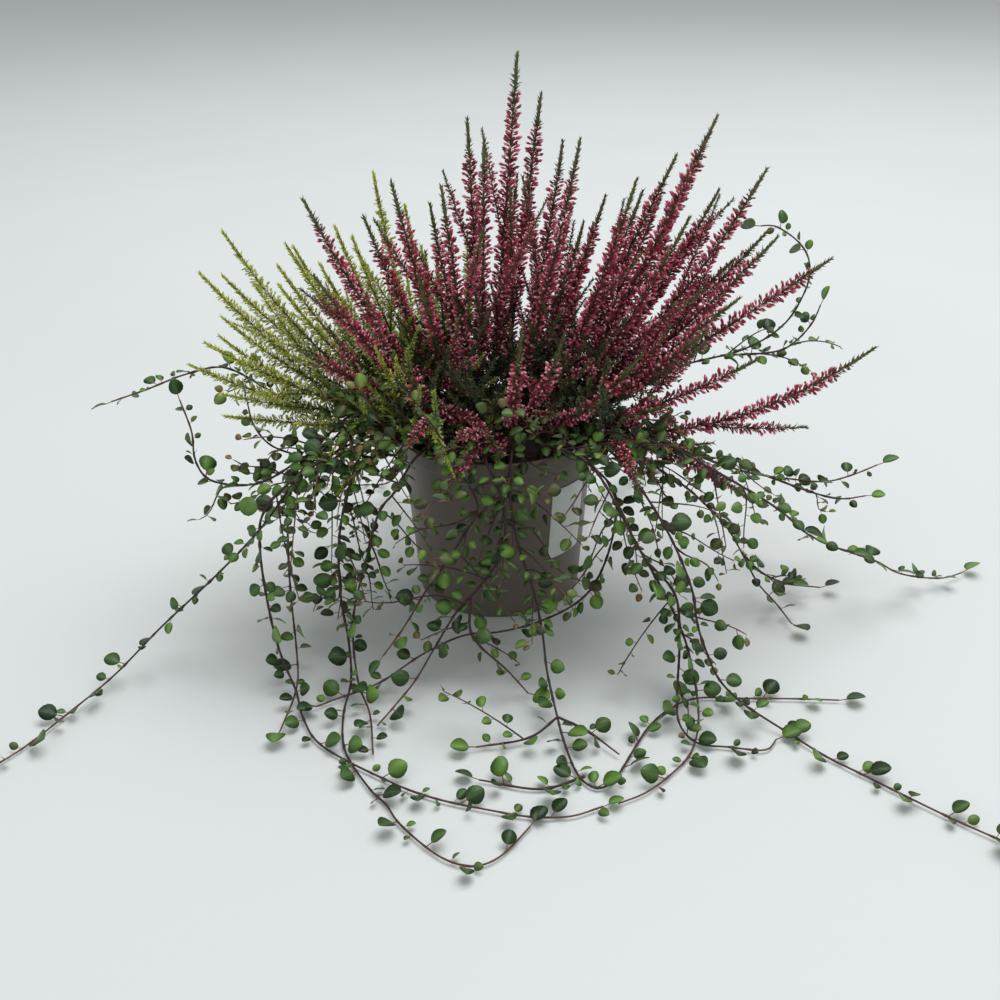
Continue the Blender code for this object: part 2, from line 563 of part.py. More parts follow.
def smooth_route(points, step):
    """Points at an even step along a smooth curve through the route's own points."""
    p = np.array([points[0]] + list(points) + [points[-1]], float)
    p[0] = 2 * p[1] - p[2]
    p[-1] = 2 * p[-2] - p[-3]
    dense = []
    for k in range(1, len(p) - 2):
        for t in np.linspace(0, 1, ROUTE_PARTS, endpoint=False):
            dense.append(0.5 * (2 * p[k] + (p[k + 1] - p[k - 1]) * t
                                + (2 * p[k - 1] - 5 * p[k] + 4 * p[k + 1] - p[k + 2]) * t * t
                                + (3 * p[k] - p[k - 1] - 3 * p[k + 1] + p[k + 2]) * t ** 3))
    dense.append(p[-2])
    dense = np.array(dense)
    run = np.concatenate(([0.0], np.cumsum(np.linalg.norm(np.diff(dense, axis=0), axis=1))))
    count = max(3, int(round(run[-1] / step)) + 1)
    even = np.linspace(0, run[-1], count)
    return np.column_stack([np.interp(even, run, dense[:, axis]) for axis in range(3)])


class Room:
    """Everything that already stands somewhere, as balls, each with the name of its node."""

    def __init__(self):
        self.points = np.empty((0, 3))
        self.radii = np.empty(0)
        self.nodes = np.empty(0, dtype=object)

    def add(self, node, points, radii):
        self.points = np.concatenate((self.points, points))
        self.radii = np.concatenate((self.radii, radii))
        self.nodes = np.concatenate((self.nodes, np.array([node] * len(points), dtype=object)))

    def push(self, node, points, radius, gap):
        """How far each point has to move to be clear of the other nodes."""
        other = self.nodes != node
        apart = points[:, None, :] - self.points[other][None, :, :]
        distance = np.sqrt((apart ** 2).sum(axis=2)) + 1e-9
        short = np.maximum(self.radii[other][None, :] + radius + gap - distance, 0.0)
        worst = short.argmax(axis=1)
        rows = np.arange(len(points))
        return apart[rows, worst] / distance[rows, worst][:, None] * short[rows, worst][:, None]

    def free(self, node, point, radius):
        other = self.nodes != node
        distance = np.sqrt(((self.points[other] - point) ** 2).sum(axis=1))
        return bool((distance > self.radii[other] + radius).all())


def pot_push(points, radius):
    """How far each point has to move to stay off the pot, the soil and the ground."""
    move = np.zeros_like(points)
    flat = np.linalg.norm(points[:, :2], axis=1) + 1e-9
    out = points[:, :2] / flat[:, None]
    keep = radius + POT_GAP
    move[:, 2] = np.maximum(radius + GROUND_GAP - points[:, 2], 0.0)
    by_rim = points[:, 2] > POT_HEIGHT - POT_RIM_DEPTH - keep
    wall = np.where(by_rim, POT_RIM_RADIUS, wall_radius(points[:, 2]))
    outside = (flat > POT_RIM_RADIUS - POT_WALL) & (points[:, 2] < POT_HEIGHT)
    beyond = np.where(outside, np.maximum(wall + keep - flat, 0.0), 0.0)
    move[:, :2] += out * beyond[:, None]
    over = (flat > POT_RIM_RADIUS - RIM_INSIDE) & (flat < POT_RIM_RADIUS + keep)
    over = over & (points[:, 2] > POT_HEIGHT - RIM_UNDER)
    move[:, 2] += np.where(over, np.maximum(POT_HEIGHT + keep - points[:, 2], 0.0), 0.0)
    return move


def clear_route(room, node, points, held):
    """Bend a route round what is in its way. The first points stay where they are held."""
    start = points.copy()
    shift = np.zeros_like(points)
    for _ in range(ROUTE_ROUNDS):
        now = start + shift
        move = room.push(node, now, VINE_RADIUS, VINE_GAP) + pot_push(now, VINE_RADIUS)
        move[:held] = 0.0
        shift = shift + move * ROUTE_SHARE
        padded = np.vstack((shift[:1], shift, shift[-1:]))
        soft = (padded[:-2] + 2 * shift + padded[2:]) / 4
        shift = (1 - ROUTE_SOFTEN) * shift + ROUTE_SOFTEN * soft
        shift[:held] = 0.0
    return start + shift


def up_frames(points):
    """Tangent, side and upper direction at each point, turning smoothly and back towards upright."""
    frames = []
    over = np.array((0.0, 0.0, 1.0))
    count = len(points)
    for k in range(count):
        ahead = points[min(k + 1, count - 1)] - points[max(k - 1, 0)]
        ahead = ahead / np.linalg.norm(ahead)
        upright = np.array((0.0, 0.0, 1.0)) - ahead * ahead[2]
        over = over - ahead * over.dot(ahead) + UPRIGHT_PULL * upright
        over = over / np.linalg.norm(over)
        frames.append((ahead, np.cross(ahead, over), over))
    return frames


def stem_points(points, near_steps):
    """The points of a stem's rings: the near steps, then a long span and the joint of a leaf by turns."""
    run = np.concatenate(([0.0], np.cumsum(np.linalg.norm(np.diff(points, axis=0), axis=1))))
    places = [0.0]
    joints = []
    for step in near_steps:
        places.append(places[-1] + step)
    while places[-1] + SPAN < run[-1] - SPAN / 2:
        places.append(places[-1] + SPAN)
        joints.append(len(places) - 1)
        places.append(places[-1] + JOINT_LENGTH)
    places.append(run[-1])
    return np.column_stack([np.interp(places, run, points[:, axis]) for axis in range(3)]), joints


def leaf_fits(room, node, own, base, middle, length, width):
    """Whether a leaf at this place is off the ground, the pot, its own stem and everything of other nodes."""
    reach = length * 0.5
    flat = math.hypot(middle[0], middle[1])
    around = LEAF_ROOM * width
    off_pot = middle[2] > POT_HEIGHT + around or flat > POT_RIM_RADIUS + around
    tip_height = base[2] + (middle[2] - base[2]) / LEAF_WIDEST
    off_ground = tip_height > 2 * LEAF_THICKNESS and middle[2] - around / 2 > GROUND_GAP
    far = own[np.linalg.norm(own - base, axis=1) > LEAF_ROOM * length]
    off_stem = bool((np.linalg.norm(far - middle, axis=1) > LEAF_ROOM * length).all())
    return off_ground and off_pot and off_stem and room.free(node, middle, reach + CLEAR)


def cuts(start, end, face):
    """Whether the line between two points goes through a triangle."""
    run = end - start
    hit = geometry.intersect_ray_tri(*[v.co for v in face.verts], run, start, True)
    return hit is not None and 0 < (hit - start).dot(run) < run.length_squared


def is_crossed(bm, new):
    """Whether any of the new triangles cuts through a triangle of the mesh."""
    bm.faces.index_update()
    bm.faces.ensure_lookup_table()
    tree = BVHTree.FromBMesh(bm)
    fresh = {face.index for face in new}
    for i, j in tree.overlap(tree):
        one, other = bm.faces[i], bm.faces[j]
        shared = [v for v in one.verts if v in other.verts]
        if i not in fresh or len(shared) > 1:
            continue
        if not shared:
            return True
        far = [[v.co for v in face.verts if v != shared[0]] for face in (one, other)]
        if cuts(*far[0], other) or cuts(*far[1], one):
            return True
    return False


def add_leaf(bm, face, ahead, aim, roll, length, width):
    """Grow a leaf from a small face of the stem: a flat underside, and a ridge from its root to its tip."""
    base = np.array(face.calc_center_median())
    level = ahead - aim * aim.dot(ahead)
    level = level / np.linalg.norm(level)
    upper = np.cross(aim, level)
    corners = sorted(face.verts, key=lambda v: np.array(v.co).dot(ahead))
    root_right = corners.pop()
    root_left, root_top = sorted(corners, key=lambda v: np.array(v.co).dot(upper))
    left, right, tip = (bm.verts.new(base) for _ in range(3))
    bmesh.ops.delete(bm, geom=[face], context="FACES_ONLY")
    blade = [bm.faces.new(three) for three in (
        (root_top, left, tip), (root_top, tip, right), (root_top, root_left, left),
        (root_top, right, root_right), (root_left, right, left), (root_left, root_right, right),
        (left, right, tip))]
    middle = base + aim * (length * LEAF_WIDEST)
    for share in ROLL_TRIES:
        wide = level * math.cos(roll * share) + upper * math.sin(roll * share)
        left.co = middle - wide * (width / 2)
        right.co = middle + wide * (width / 2)
        tip.co = base + aim * length + np.cross(aim, wide) * LEAF_RIDGE
        if not is_crossed(bm, blade):
            return
    for corner, root in ((left, root_left), (right, root_right), (tip, root_top)):
        corner.co = root.co + Vector(aim) * LEAF_THICKNESS


def vine_mesh(points, joints, room, node, draw, hole):
    """A three-sided stem with a leaf drawn out of each joint, by turns left and right.

    A first stem also reaches down into its hole.
    """
    bm = bmesh.new()
    frames = up_frames(points)
    if hole:
        drop = np.array((0.0, 0.0, HOLE_DEPTH - CLEAR))
        points = np.vstack((points[:1] - drop, points))
        frames = [frames[0]] + frames
        joints = [joint + 1 for joint in joints]
    count = len(points)
    rings = []
    for k, (ahead, side, over) in enumerate(frames):
        size = VINE_RADIUS + (VINE_TIP_RADIUS - VINE_RADIUS) * k / (count - 1)
        turns = [math.pi / 2 + math.tau * corner / 3 for corner in range(3)]
        rings.append([bm.verts.new(points[k] + size * (math.cos(turn) * side + math.sin(turn) * over))
                      for turn in turns])
    roots = []
    for number, (a, b) in enumerate(zip(rings, rings[1:])):
        leafy = 2 * (joints.index(number) % 2) if number in joints else None
        for k in range(3):
            if k == leafy:
                roots.append((number, frames[number][0], bm.faces.new((a[k], a[(k + 1) % 3], b[k]))))
                bm.faces.new((b[k], a[(k + 1) % 3], b[(k + 1) % 3]))
            else:
                bm.faces.new((a[k], a[(k + 1) % 3], b[(k + 1) % 3], b[k]))
    bm.faces.new(rings[0])
    roots.append((count - 1, -frames[-1][1], bm.faces.new(rings[-1])))
    bmesh.ops.triangulate(bm, faces=bm.faces)
    bmesh.ops.recalc_face_normals(bm, faces=bm.faces)
    own = chain_points(points)
    for number, along, face in roots:
        size = draw.uniform(*LEAF_SIZES)
        spread = math.radians(draw.uniform(*LEAF_SPREAD))
        roll = math.radians(draw.uniform(-LEAF_ROLL, LEAF_ROLL))
        out = np.array(face.normal)
        at_tip = number == count - 1
        aim = out if at_tip else along * math.cos(spread) + out * math.sin(spread)
        if points[number][2] < LOW_STEM:
            aim[2] = max(aim[2], LOW_LEAF_RISE)
        aim = aim / np.linalg.norm(aim)
        length = LEAF_LENGTH * size
        width = LEAF_WIDTH * size
        base = np.array(face.calc_center_median())
        middle = base + aim * (length * LEAF_WIDEST)
        if leaf_fits(room, node, own, base, middle, length, width):
            room.add(node, middle[None, :], np.array([length * 0.5]))
            own = np.vstack((own, middle))
            add_leaf(bm, face, along, aim, roll, length, width)
    return bm


def build_vines(mat, shoots, feet):
    """The vines in their fixed order: each one keeps clear of the heather and of the vines before it."""
    room = Room()
    for shoot in shoots:
        room.add(shoot.spray, shoot.samples(), shoot.radii + SHOOT_GAP)
    for spray, fork in feet:
        room.add(spray, np.array([fork, fork - (0, 0, STUB_RISE / 2), fork - (0, 0, STUB_RISE)]),
                 np.full(3, STUB_RADIUS * STUB_ROOM))
    vines = {}
    for number, stems in enumerate(VINES_MM, start=1):
        node = "vine_%02d" % number
        vines[node] = []
        for stem in stems:
            route = np.array(stem) * MM
            held = VINE_HELD
            if vines[node]:
                known = np.concatenate([span_middles(points) for points, joints in vines[node]])
                route[0] = known[np.linalg.norm(known - route[0], axis=1).argmin()]
                held = 1
            points = clear_route(room, node, smooth_route(route, ROUTE_STEP), held)
            points, joints = stem_points(points, () if vines[node] else NEAR_STEPS)
            chain = chain_points(points)
            room.add(node, chain, np.full(len(chain), VINE_RADIUS))
            vines[node].append((points, joints))
    draw = random.Random(LEAF_SEED)
    for node, stems in vines.items():
        parts = [make_object(node, vine_mesh(points, joints, room, node, draw, number == 0), mat)
                 for number, (points, joints) in enumerate(stems)]
        if len(parts) > 1:
            boolean(parts[0], parts[1:], "UNION")
    return vines


def span_middles(points):
    """The middles of a stem's long spans, where a further stem can start clear of the leaves."""
    middles = (points[:-1] + points[1:]) / 2
    return middles[np.linalg.norm(np.diff(points, axis=0), axis=1) > 2 * JOINT_LENGTH]


def chain_points(points):
    """Points every few millimetres along straight spans."""
    chain = [points[0]]
    for a, b in zip(points, points[1:]):
        steps = max(1, int(np.linalg.norm(b - a) / CHAIN_STEP))
        chain += [a + (b - a) * (k + 1) / steps for k in range(steps)]
    return np.array(chain)


def main():
    clear_scene()
    mats = {name: make_material(name) for name in COLOURS}
    build_pot(mats["pot"])
    build_label(mats["label"])
    shoots, feet = build_heather(mats)
    build_vines(mats["vine"], shoots, feet)
    holes = [(fork[0], fork[1], STUB_RADIUS) for spray, fork in feet]
    holes += [(stems[0][0][0] * MM, stems[0][0][1] * MM, VINE_HOLE) for stems in VINES_MM]
    build_soil(mats["soil"], holes)


main()
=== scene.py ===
"""Potted heather: the looks of a pink and a white bud heather and a trailing wire vine in one plastic pot.

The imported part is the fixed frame. Each spray, each vine, the pot, the soil and the label is one piece that
stands for its node. Lengths are metres, except in the tables whose names end in _MM. The shoots and vines
repeat the part's own tables and rules, so every piece grows where its node is.
"""
import functools
import math
import random

import bmesh
import bpy
import numpy as np
from mathutils import Matrix, Vector, noise


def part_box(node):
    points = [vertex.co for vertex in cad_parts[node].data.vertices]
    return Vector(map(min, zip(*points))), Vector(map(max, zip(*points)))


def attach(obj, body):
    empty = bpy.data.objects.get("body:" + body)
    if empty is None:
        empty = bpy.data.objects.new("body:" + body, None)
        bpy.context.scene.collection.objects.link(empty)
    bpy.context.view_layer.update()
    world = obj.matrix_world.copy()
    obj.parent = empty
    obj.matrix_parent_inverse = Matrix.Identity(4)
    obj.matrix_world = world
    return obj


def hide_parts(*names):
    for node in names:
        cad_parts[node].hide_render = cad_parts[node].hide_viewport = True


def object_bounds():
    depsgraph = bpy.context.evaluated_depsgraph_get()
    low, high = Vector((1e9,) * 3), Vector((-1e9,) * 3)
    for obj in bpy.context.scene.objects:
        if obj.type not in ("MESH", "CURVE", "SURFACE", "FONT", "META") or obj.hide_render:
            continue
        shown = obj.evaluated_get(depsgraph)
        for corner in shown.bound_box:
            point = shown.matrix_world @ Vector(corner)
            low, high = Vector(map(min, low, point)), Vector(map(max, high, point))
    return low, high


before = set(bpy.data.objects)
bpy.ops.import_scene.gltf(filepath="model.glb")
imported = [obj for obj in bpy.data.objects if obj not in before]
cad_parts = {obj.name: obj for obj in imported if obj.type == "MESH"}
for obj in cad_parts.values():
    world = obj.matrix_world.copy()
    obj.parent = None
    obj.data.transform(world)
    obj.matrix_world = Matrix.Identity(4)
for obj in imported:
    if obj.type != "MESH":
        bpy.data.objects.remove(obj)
CAD_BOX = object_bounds()

bl_info = {
    "name": "Potted Heather",
    "version": (1, 0, 0),
    "blender": (4, 5, 0),
    "location": "3D View > Sidebar > Heather",
    "description": "Builds a pot of bud heather with a trailing wire vine",
    "category": "Add Mesh",
}

MM = 0.001
BODY = "root"

# The pot and the soil, measured on their nodes
POT_LOW, POT_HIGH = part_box("pot")
SOIL_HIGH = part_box("soil")[1]
POT_HEIGHT = POT_HIGH.z
POT_RIM_RADIUS = POT_HIGH.x
POT_FOOT_RADIUS = 0.054
POT_TOP_RADIUS = 0.0632
POT_RIM_DEPTH = 0.011
POT_WALL = 0.0015
POT_FLOOR = 0.002
POT_RECESS = 0.0008
POT_FOOT_STEP = 0.006
POT_FOOT_RING = 0.0048            # width of the ring that the pot stands on
POT_EDGE = 0.0012                 # radius of the rounded edges of foot and rim
POT_RIM_FOLD = 0.0010
POT_RIM_DIP = 0.0002              # how far the band's side lies inside its edges
POT_FILLET = 0.0018
POT_SHARP = math.radians(50)      # edges that turn by more than this stay sharp
DRAIN_HOLES = 4
DRAIN_RADIUS = 0.004
DRAIN_CIRCLE = 0.036
CLEAR = 0.0003
SOIL_TOP = 0.105

# The heather, as the part lays it out
STUB_RADIUS = 0.0022
STUB_RISE = 0.012
HOLE_DEPTH = 0.014
FORK_CIRCLE = 0.0011
STEM_RADIUS = 0.0009
FLORET_RADIUS = {"pink": 0.0060, "white": 0.0054}
LEAFY_RADIUS = 0.0026
LEAFY_FROM = 0.018
FULL_FROM = 0.062
TIP_SHARE = 0.20
TIP_RADIUS = 0.0018
BEND_REACH = 0.55
SAMPLES = 24
ROOM_GAP = 0.0008
SETTLE_ROUNDS = 60
SETTLE_SHARE = 0.10
SETTLE_WAYS = (0.35, 1.0, 0.35)
PAIR_ROUNDS = 6                   # rounds after which the pairs that may touch are looked up again
PAIR_MARGIN = 0.008
LEAST_RADIUS = 0.0005
RADIUS_RISE = 0.001

# The vine, as the part lays it out
VINE_RADIUS = 0.0010
VINE_TIP_RADIUS = 0.0006
VINE_HELD = 3
ROUTE_PARTS = 12
ROUTE_STEP = 0.005
ROUTE_ROUNDS = 60
ROUTE_SHARE = 0.6
ROUTE_SOFTEN = 0.4
ROUTE_REACH = 0.03                # how far round a route its neighbours are looked up
CHAIN_STEP = 0.003
VINE_GAP = 0.0018
POT_GAP = 0.0012
GROUND_GAP = 0.0008
RIM_INSIDE = 0.008
RIM_UNDER = 0.004
SHOOT_GAP = 0.0006
STUB_ROOM = 1.3
UPRIGHT_PULL = 0.35
NEAR_STEPS = (0.009, 0.009, 0.010, 0.012)
SPAN = 0.0215
JOINT_LENGTH = 0.0022
LEAF_LENGTH = 0.0145
LEAF_WIDTH = 0.0115
LEAF_SIZES = (0.78, 1.15)
LEAF_SPREAD = (45, 80)
LEAF_ROLL = 30
LEAF_SEED = 11

# The blank label on the pot's side
LABEL_WIDTH = 0.030
LABEL_HEIGHT = 0.050
LABEL_LOW = 0.040
LABEL_TURN = math.radians(-42)
LABEL_THICKNESS = 0.0006
LABEL_CORNER = 0.003
LABEL_RAISED = 0.0001
LABEL_SHARP = math.radians(40)

# The heather's fine growth
GOLDEN_TURN = math.radians(137.5)
BUD_SIDES = 3
STEM_SIDES = 5
SHOOT_POINTS = 48
TWIG_POINTS = 12
BUD_SALT = 10                     # offsets that keep the random draws of buds and leaves apart
NEEDLE_SALT = 20
TIP_WIDENS = 0.3                  # how fast a spike widens below its green tip
BUD_STAND = 1.12                  # length of a bud and its stalk, as a share of the room it fills
ROOM_LEAST = 0.0022
BARE_STEM = 0.012
BLOOM_FROM = 0.34                 # a short shoot flowers from this share of its length
STEM_TIP_RADIUS = 0.0006
SPARSE_REACH = 0.014              # stretch below a green tip where the buds thin out
SPARSE_POWER = 0.6
GREEN_TIP = {"pink": 0.014, "white": 0.017}
BUD_RINGS = {"pink": ((0.50, 0.105), (0.76, 0.16)), "white": ((0.56, 0.09), (0.80, 0.14))}
NEEDLE_LENGTH = 0.0046
NEEDLE_LEAN = 1.0
TIP_NEEDLE = 0.0044
TIP_LEAN = 0.7
TIP_STEM = 0.0012
TWIG_LEAFY = 0.36
SPIKE_LEAFY = 0.45
TWIG_ROOM = 0.0048
TWIG_RISE = 0.35
SPIKE_RISE = 0.08
TWIG_SLOPE = (0.12, 0.8)
TWIG_OUTWARD = 0.5
TWIG_TRIES = 4
TWIG_TIP = 0.006
TWIG_TIP_FADE = 0.012
TWIG_SIZES = (0.85, 1.1)
TWIG_LENGTHS = (0.030, 0.060)
NOD_FRONT = 0.012                 # sprays with their foot in front of this line nod over the rim
NOD_START = (0.022, 0.040)
NOD_TURN = (-2.45, -0.75)
NOD_SLOPE = (0.25, 1.3)
NOD_LENGTHS = (0.052, 0.074)
NOD_RISE = -0.55
SPIKE_FROM = (0.32, 0.6)
SPIKE_SPREAD = (0.3, 0.55)
SPIKE_REACH = (0.55, 0.8)

# The vine's fine growth
VINE_SIDES = 5
VINE_THIN = 0.82                  # a real stem is thinner than the part's
FINE_STEP = 0.003
JOINT_SWELL = 0.35
JOINT_REACH = 0.0016
LEAF_STALK = 0.28                 # share of a leaf's length that is its stalk
LEAF_STALK_RADIUS = 0.022
LEAF_OUTLINE = ((0.05, 0.42), (0.20, 0.80), (0.40, 1.0), (0.62, 0.95), (0.82, 0.68), (0.94, 0.36))
LEAF_HALF_WIDTH = 0.33
LEAF_FULL_WIDTH = 2 * LEAF_HALF_WIDTH
LEAF_FOLD = 0.05
LEAF_CURL = 0.05
LEAF_DEPTH = 0.03
LEAF_DROP = 0.03
LEAF_BACK_MARK = 1.0              # the underside's map starts past this
LEAF_BLANKS = {"leaf": 0.0, "size": (0.0, 0.0, 0.0), "turn": (1.0, 0.0, 0.0, 0.0), "tone": 0.0, "young": 0.0}
LEAF_MIDDLE = 0.62
LEAF_GROUND = 0.0015
LEAF_POT_GAP = 0.001
LEAF_APART = 0.0044
LEAF_TRIES = 5
LABEL_FREE = 0.3                  # half of the angle in which the label is kept free of leaves
LABEL_FREE_REACH = 0.1
LEAF_TUMBLE = 0.75
LEAF_SWING = 0.5
LEAF_EDGEWISE = 0.2
RIM_ROOM_FROM = 0.1
LEAF_FACE = 0.25                  # how far leaves turn towards the front, where the light is
LEAF_BROADNESS = (0.78, 1.02)
LEAF_NARROW = 0.86
SIDE_SHARE = 0.87                 # a joint's outer side, between the stem's side and its upper side
OVER_SHARE = 0.5
LOW_STEM = 0.020
LOW_LEAF_RISE = 0.25
LEAFLESS_BELOW = 0.03
FIRST_LEAF = (0.3, 0.9)           # the spans that follow are shares of the leaf span or of full size
LEAF_STEPS = (0.6, 1.3)
BARE_END = 0.004
EXTRA_LEAF_SIZES = (0.55, 1.0)
END_SHRINK = 0.3
YOUNG_FROM = 0.85
YOUNG_RISE = 3
PAIRED_LEAVES = 0.5
PAIRED_SIZE = 0.9
SPRIG_POINTS = 8
SPRIG_SPAN = 0.0075
SPRIG_RADIUS = 0.0005
SPRIG_BEND = 0.3
SPRIG_LENGTHS = (0.022, 0.060)
SPRIG_ZONE = 0.13
SPRIG_FIRST = 0.006
SPRIG_FIRST_ASIDE = (0.01, 0.03)
SPRIG_STEPS = (0.6, 1.4)
SPRIG_FLATNESS = 0.7
SPRIG_AHEAD = (0.3, 0.9)
SPRIG_LIFT = (-0.2, 0.4)
SPRIG_DROOP = (0.0, 0.5)
SPRIG_LEAF_SIZES = (0.65, 0.95)
SPRIG_FIRST_LEAF = (0.5, 1.0)
SPRIG_LEAF_STEPS = (0.75, 1.2)
SPRIG_LEAF_RANGE = (0.7, 1.05)
SPRIG_YOUTH = 0.2
SPRIG_END_LEAF = 0.6
SPRIG_END_YOUTH = (0.1, 0.8)

# The soil's and the label's faces
SOIL_SIDES = 96
SOIL_RINGS = 22
SOIL_SIDE_RINGS = 6
SOIL_SIDE_FROM = 0.02
SOIL_FOOT_RISE = 0.004
SOIL_FOOT_INSET = 0.002
SOIL_EDGE_DROP = 0.002
SOIL_SINK = 0.0006
SOIL_WAVES = 90
CRUMB_SEED = 5
CRUMB_STRETCH = ((0.5, 0.35, 0.3), (1.5, 0.9, 0.8))
LABEL_ROWS = 40
LABEL_COLUMNS = 16

PINK_SEED = 21
WHITE_SEED = 61

# The stage
FLOOR_RADIUS = 8.0
OVERHEAD_PLACE = (0.7, 0.9, 3.2)
OVERHEAD_SIZE = 3.2
FILL_PLACE = (-1.2, -2.0, 1.6)
FILL_SIZE = 1.6
SENSOR = 36.0
CAMERA_PLACE = (0.0013, -0.7095, 0.4186)
CAMERA_PITCH = math.radians(63.1)
CAMERA_ROLL = math.radians(-0.84)


# Each spray: the place of its foot on the soil (x, y), then its shoots as tip (x, y, z) and lift. The lift
# is the height of the shoot's bend as a share of its rise: low for one that leaves sideways, then turns up.
PINK_SPRAYS_MM = (
    ((-26, -8), ((-110, -20, 265, 0.38), (-105, -35, 225, 0.34), (-115, -50, 185, 0.55))),
    ((-20, 3), ((-80, 20, 245, 0.42), (-60, 0, 270, 0.42), (-45, -25, 220, 0.42))),
    ((-11, -3), ((-30, -15, 270, 0.45), (-38, 2, 256, 0.45), (-5, -5, 295, 0.45))),
    ((-6, 12), ((-15, 30, 300, 0.45), (15, 5, 340, 0.45), (15, 40, 265, 0.45))),
    ((5, 3), ((30, 20, 315, 0.45), (40, 10, 290, 0.45), (50, -10, 295, 0.42))),
    ((12, 15), ((50, 35, 245, 0.42), (55, 20, 240, 0.42), (70, 45, 250, 0.42))),
    ((4, -14), ((15, -65, 200, 0.05), (40, -60, 195, 0.10), (0, -80, 125, 0.75), (65, -70, 160, 0.30))),
    ((-17, -14), ((-55, -55, 175, 0.30), (-38, -62, 160, 0.40))),
    ((29, 4), ((85, 0, 270, 0.42), (90, 10, 260, 0.42), (115, 25, 275, 0.42))),
    ((37, 11), ((105, 40, 250, 0.42), (125, 20, 290, 0.42), (130, 0, 305, 0.42))),
    ((39, -2), ((115, -15, 250, 0.42), (135, 10, 260, 0.42), (160, 0, 275, 0.42))),
    ((49, 9), ((170, 25, 230, 0.45), (170, -5, 235, 0.45), (150, 15, 215, 0.50))),
    ((48, -5), ((200, -15, 225, 0.55), (145, -30, 205, 0.50), (125, -40, 190, 0.50))),
    ((43, -18), ((219, -60, 184, -0.10), (155, -50, 175, 0.35), (100, -60, 150, 0.45))),
    ((33, -27), ((85, -55, 180, 0.35), (100, -65, 120, 4.00), (155, -65, 88, -0.40))),
    ((-2, 25), ((-34, 110, 180, 0.40), (8, 126, 188, 0.40), (44, 104, 200, 0.40))),
    ((27, 23), ((80, 116, 180, 0.40), (122, 94, 180, 0.40), (66, 75, 225, 0.40))),
    ((16, 40), ((30, 138, 152, 0.45), (60, 126, 162, 0.40), (2, 134, 142, 0.45))),
)
WHITE_SPRAYS_MM = (
    ((-54, 12), ((-165, 10, 240, 0.22), (-178, -10, 218, 0.22), (-172, 24, 208, 0.30))),
    ((-52, 2), ((-165, -20, 195, 0.25), (-172, -40, 185, 0.25), (-170, -2, 180, 0.30))),
    ((-47, -8), ((-185, -30, 170, 0.40), (-165, -42, 140, 0.40), (-120, -55, 140, 0.45))),
    ((-50, 22), ((-130, 20, 228, 0.30), (-128, 37, 222, 0.30), (-134, 8, 218, 0.30))),
    ((-43, 4), ((-130, -12, 212, 0.30), (-95, -30, 210, 0.35))),
    ((-41, 15), ((-100, 35, 235, 0.35), (-88, 22, 232, 0.35), (-108, 12, 218, 0.35))),
    ((-38, 26), ((-75, 55, 265, 0.40), (-58, 48, 245, 0.40), (-70, 64, 215, 0.40))),
    ((-28, 31), ((-48, 62, 215, 0.40), (-10, 55, 250, 0.40), (-38, 45, 218, 0.40))),
    ((-38, -12), ((-70, -50, 185, 0.30), (-50, -65, 145, 0.45), (-35, -62, 132, 0.60),
                  (-100, -80, 98, -0.50))),
    ((-46, 32), ((-118, 70, 178, 0.35), (-92, 110, 165, 0.35), (-62, 104, 185, 0.35))),
    ((-18, 44), ((-50, 128, 138, 0.45), (-80, 118, 146, 0.40), (-30, 112, 168, 0.40))),
)

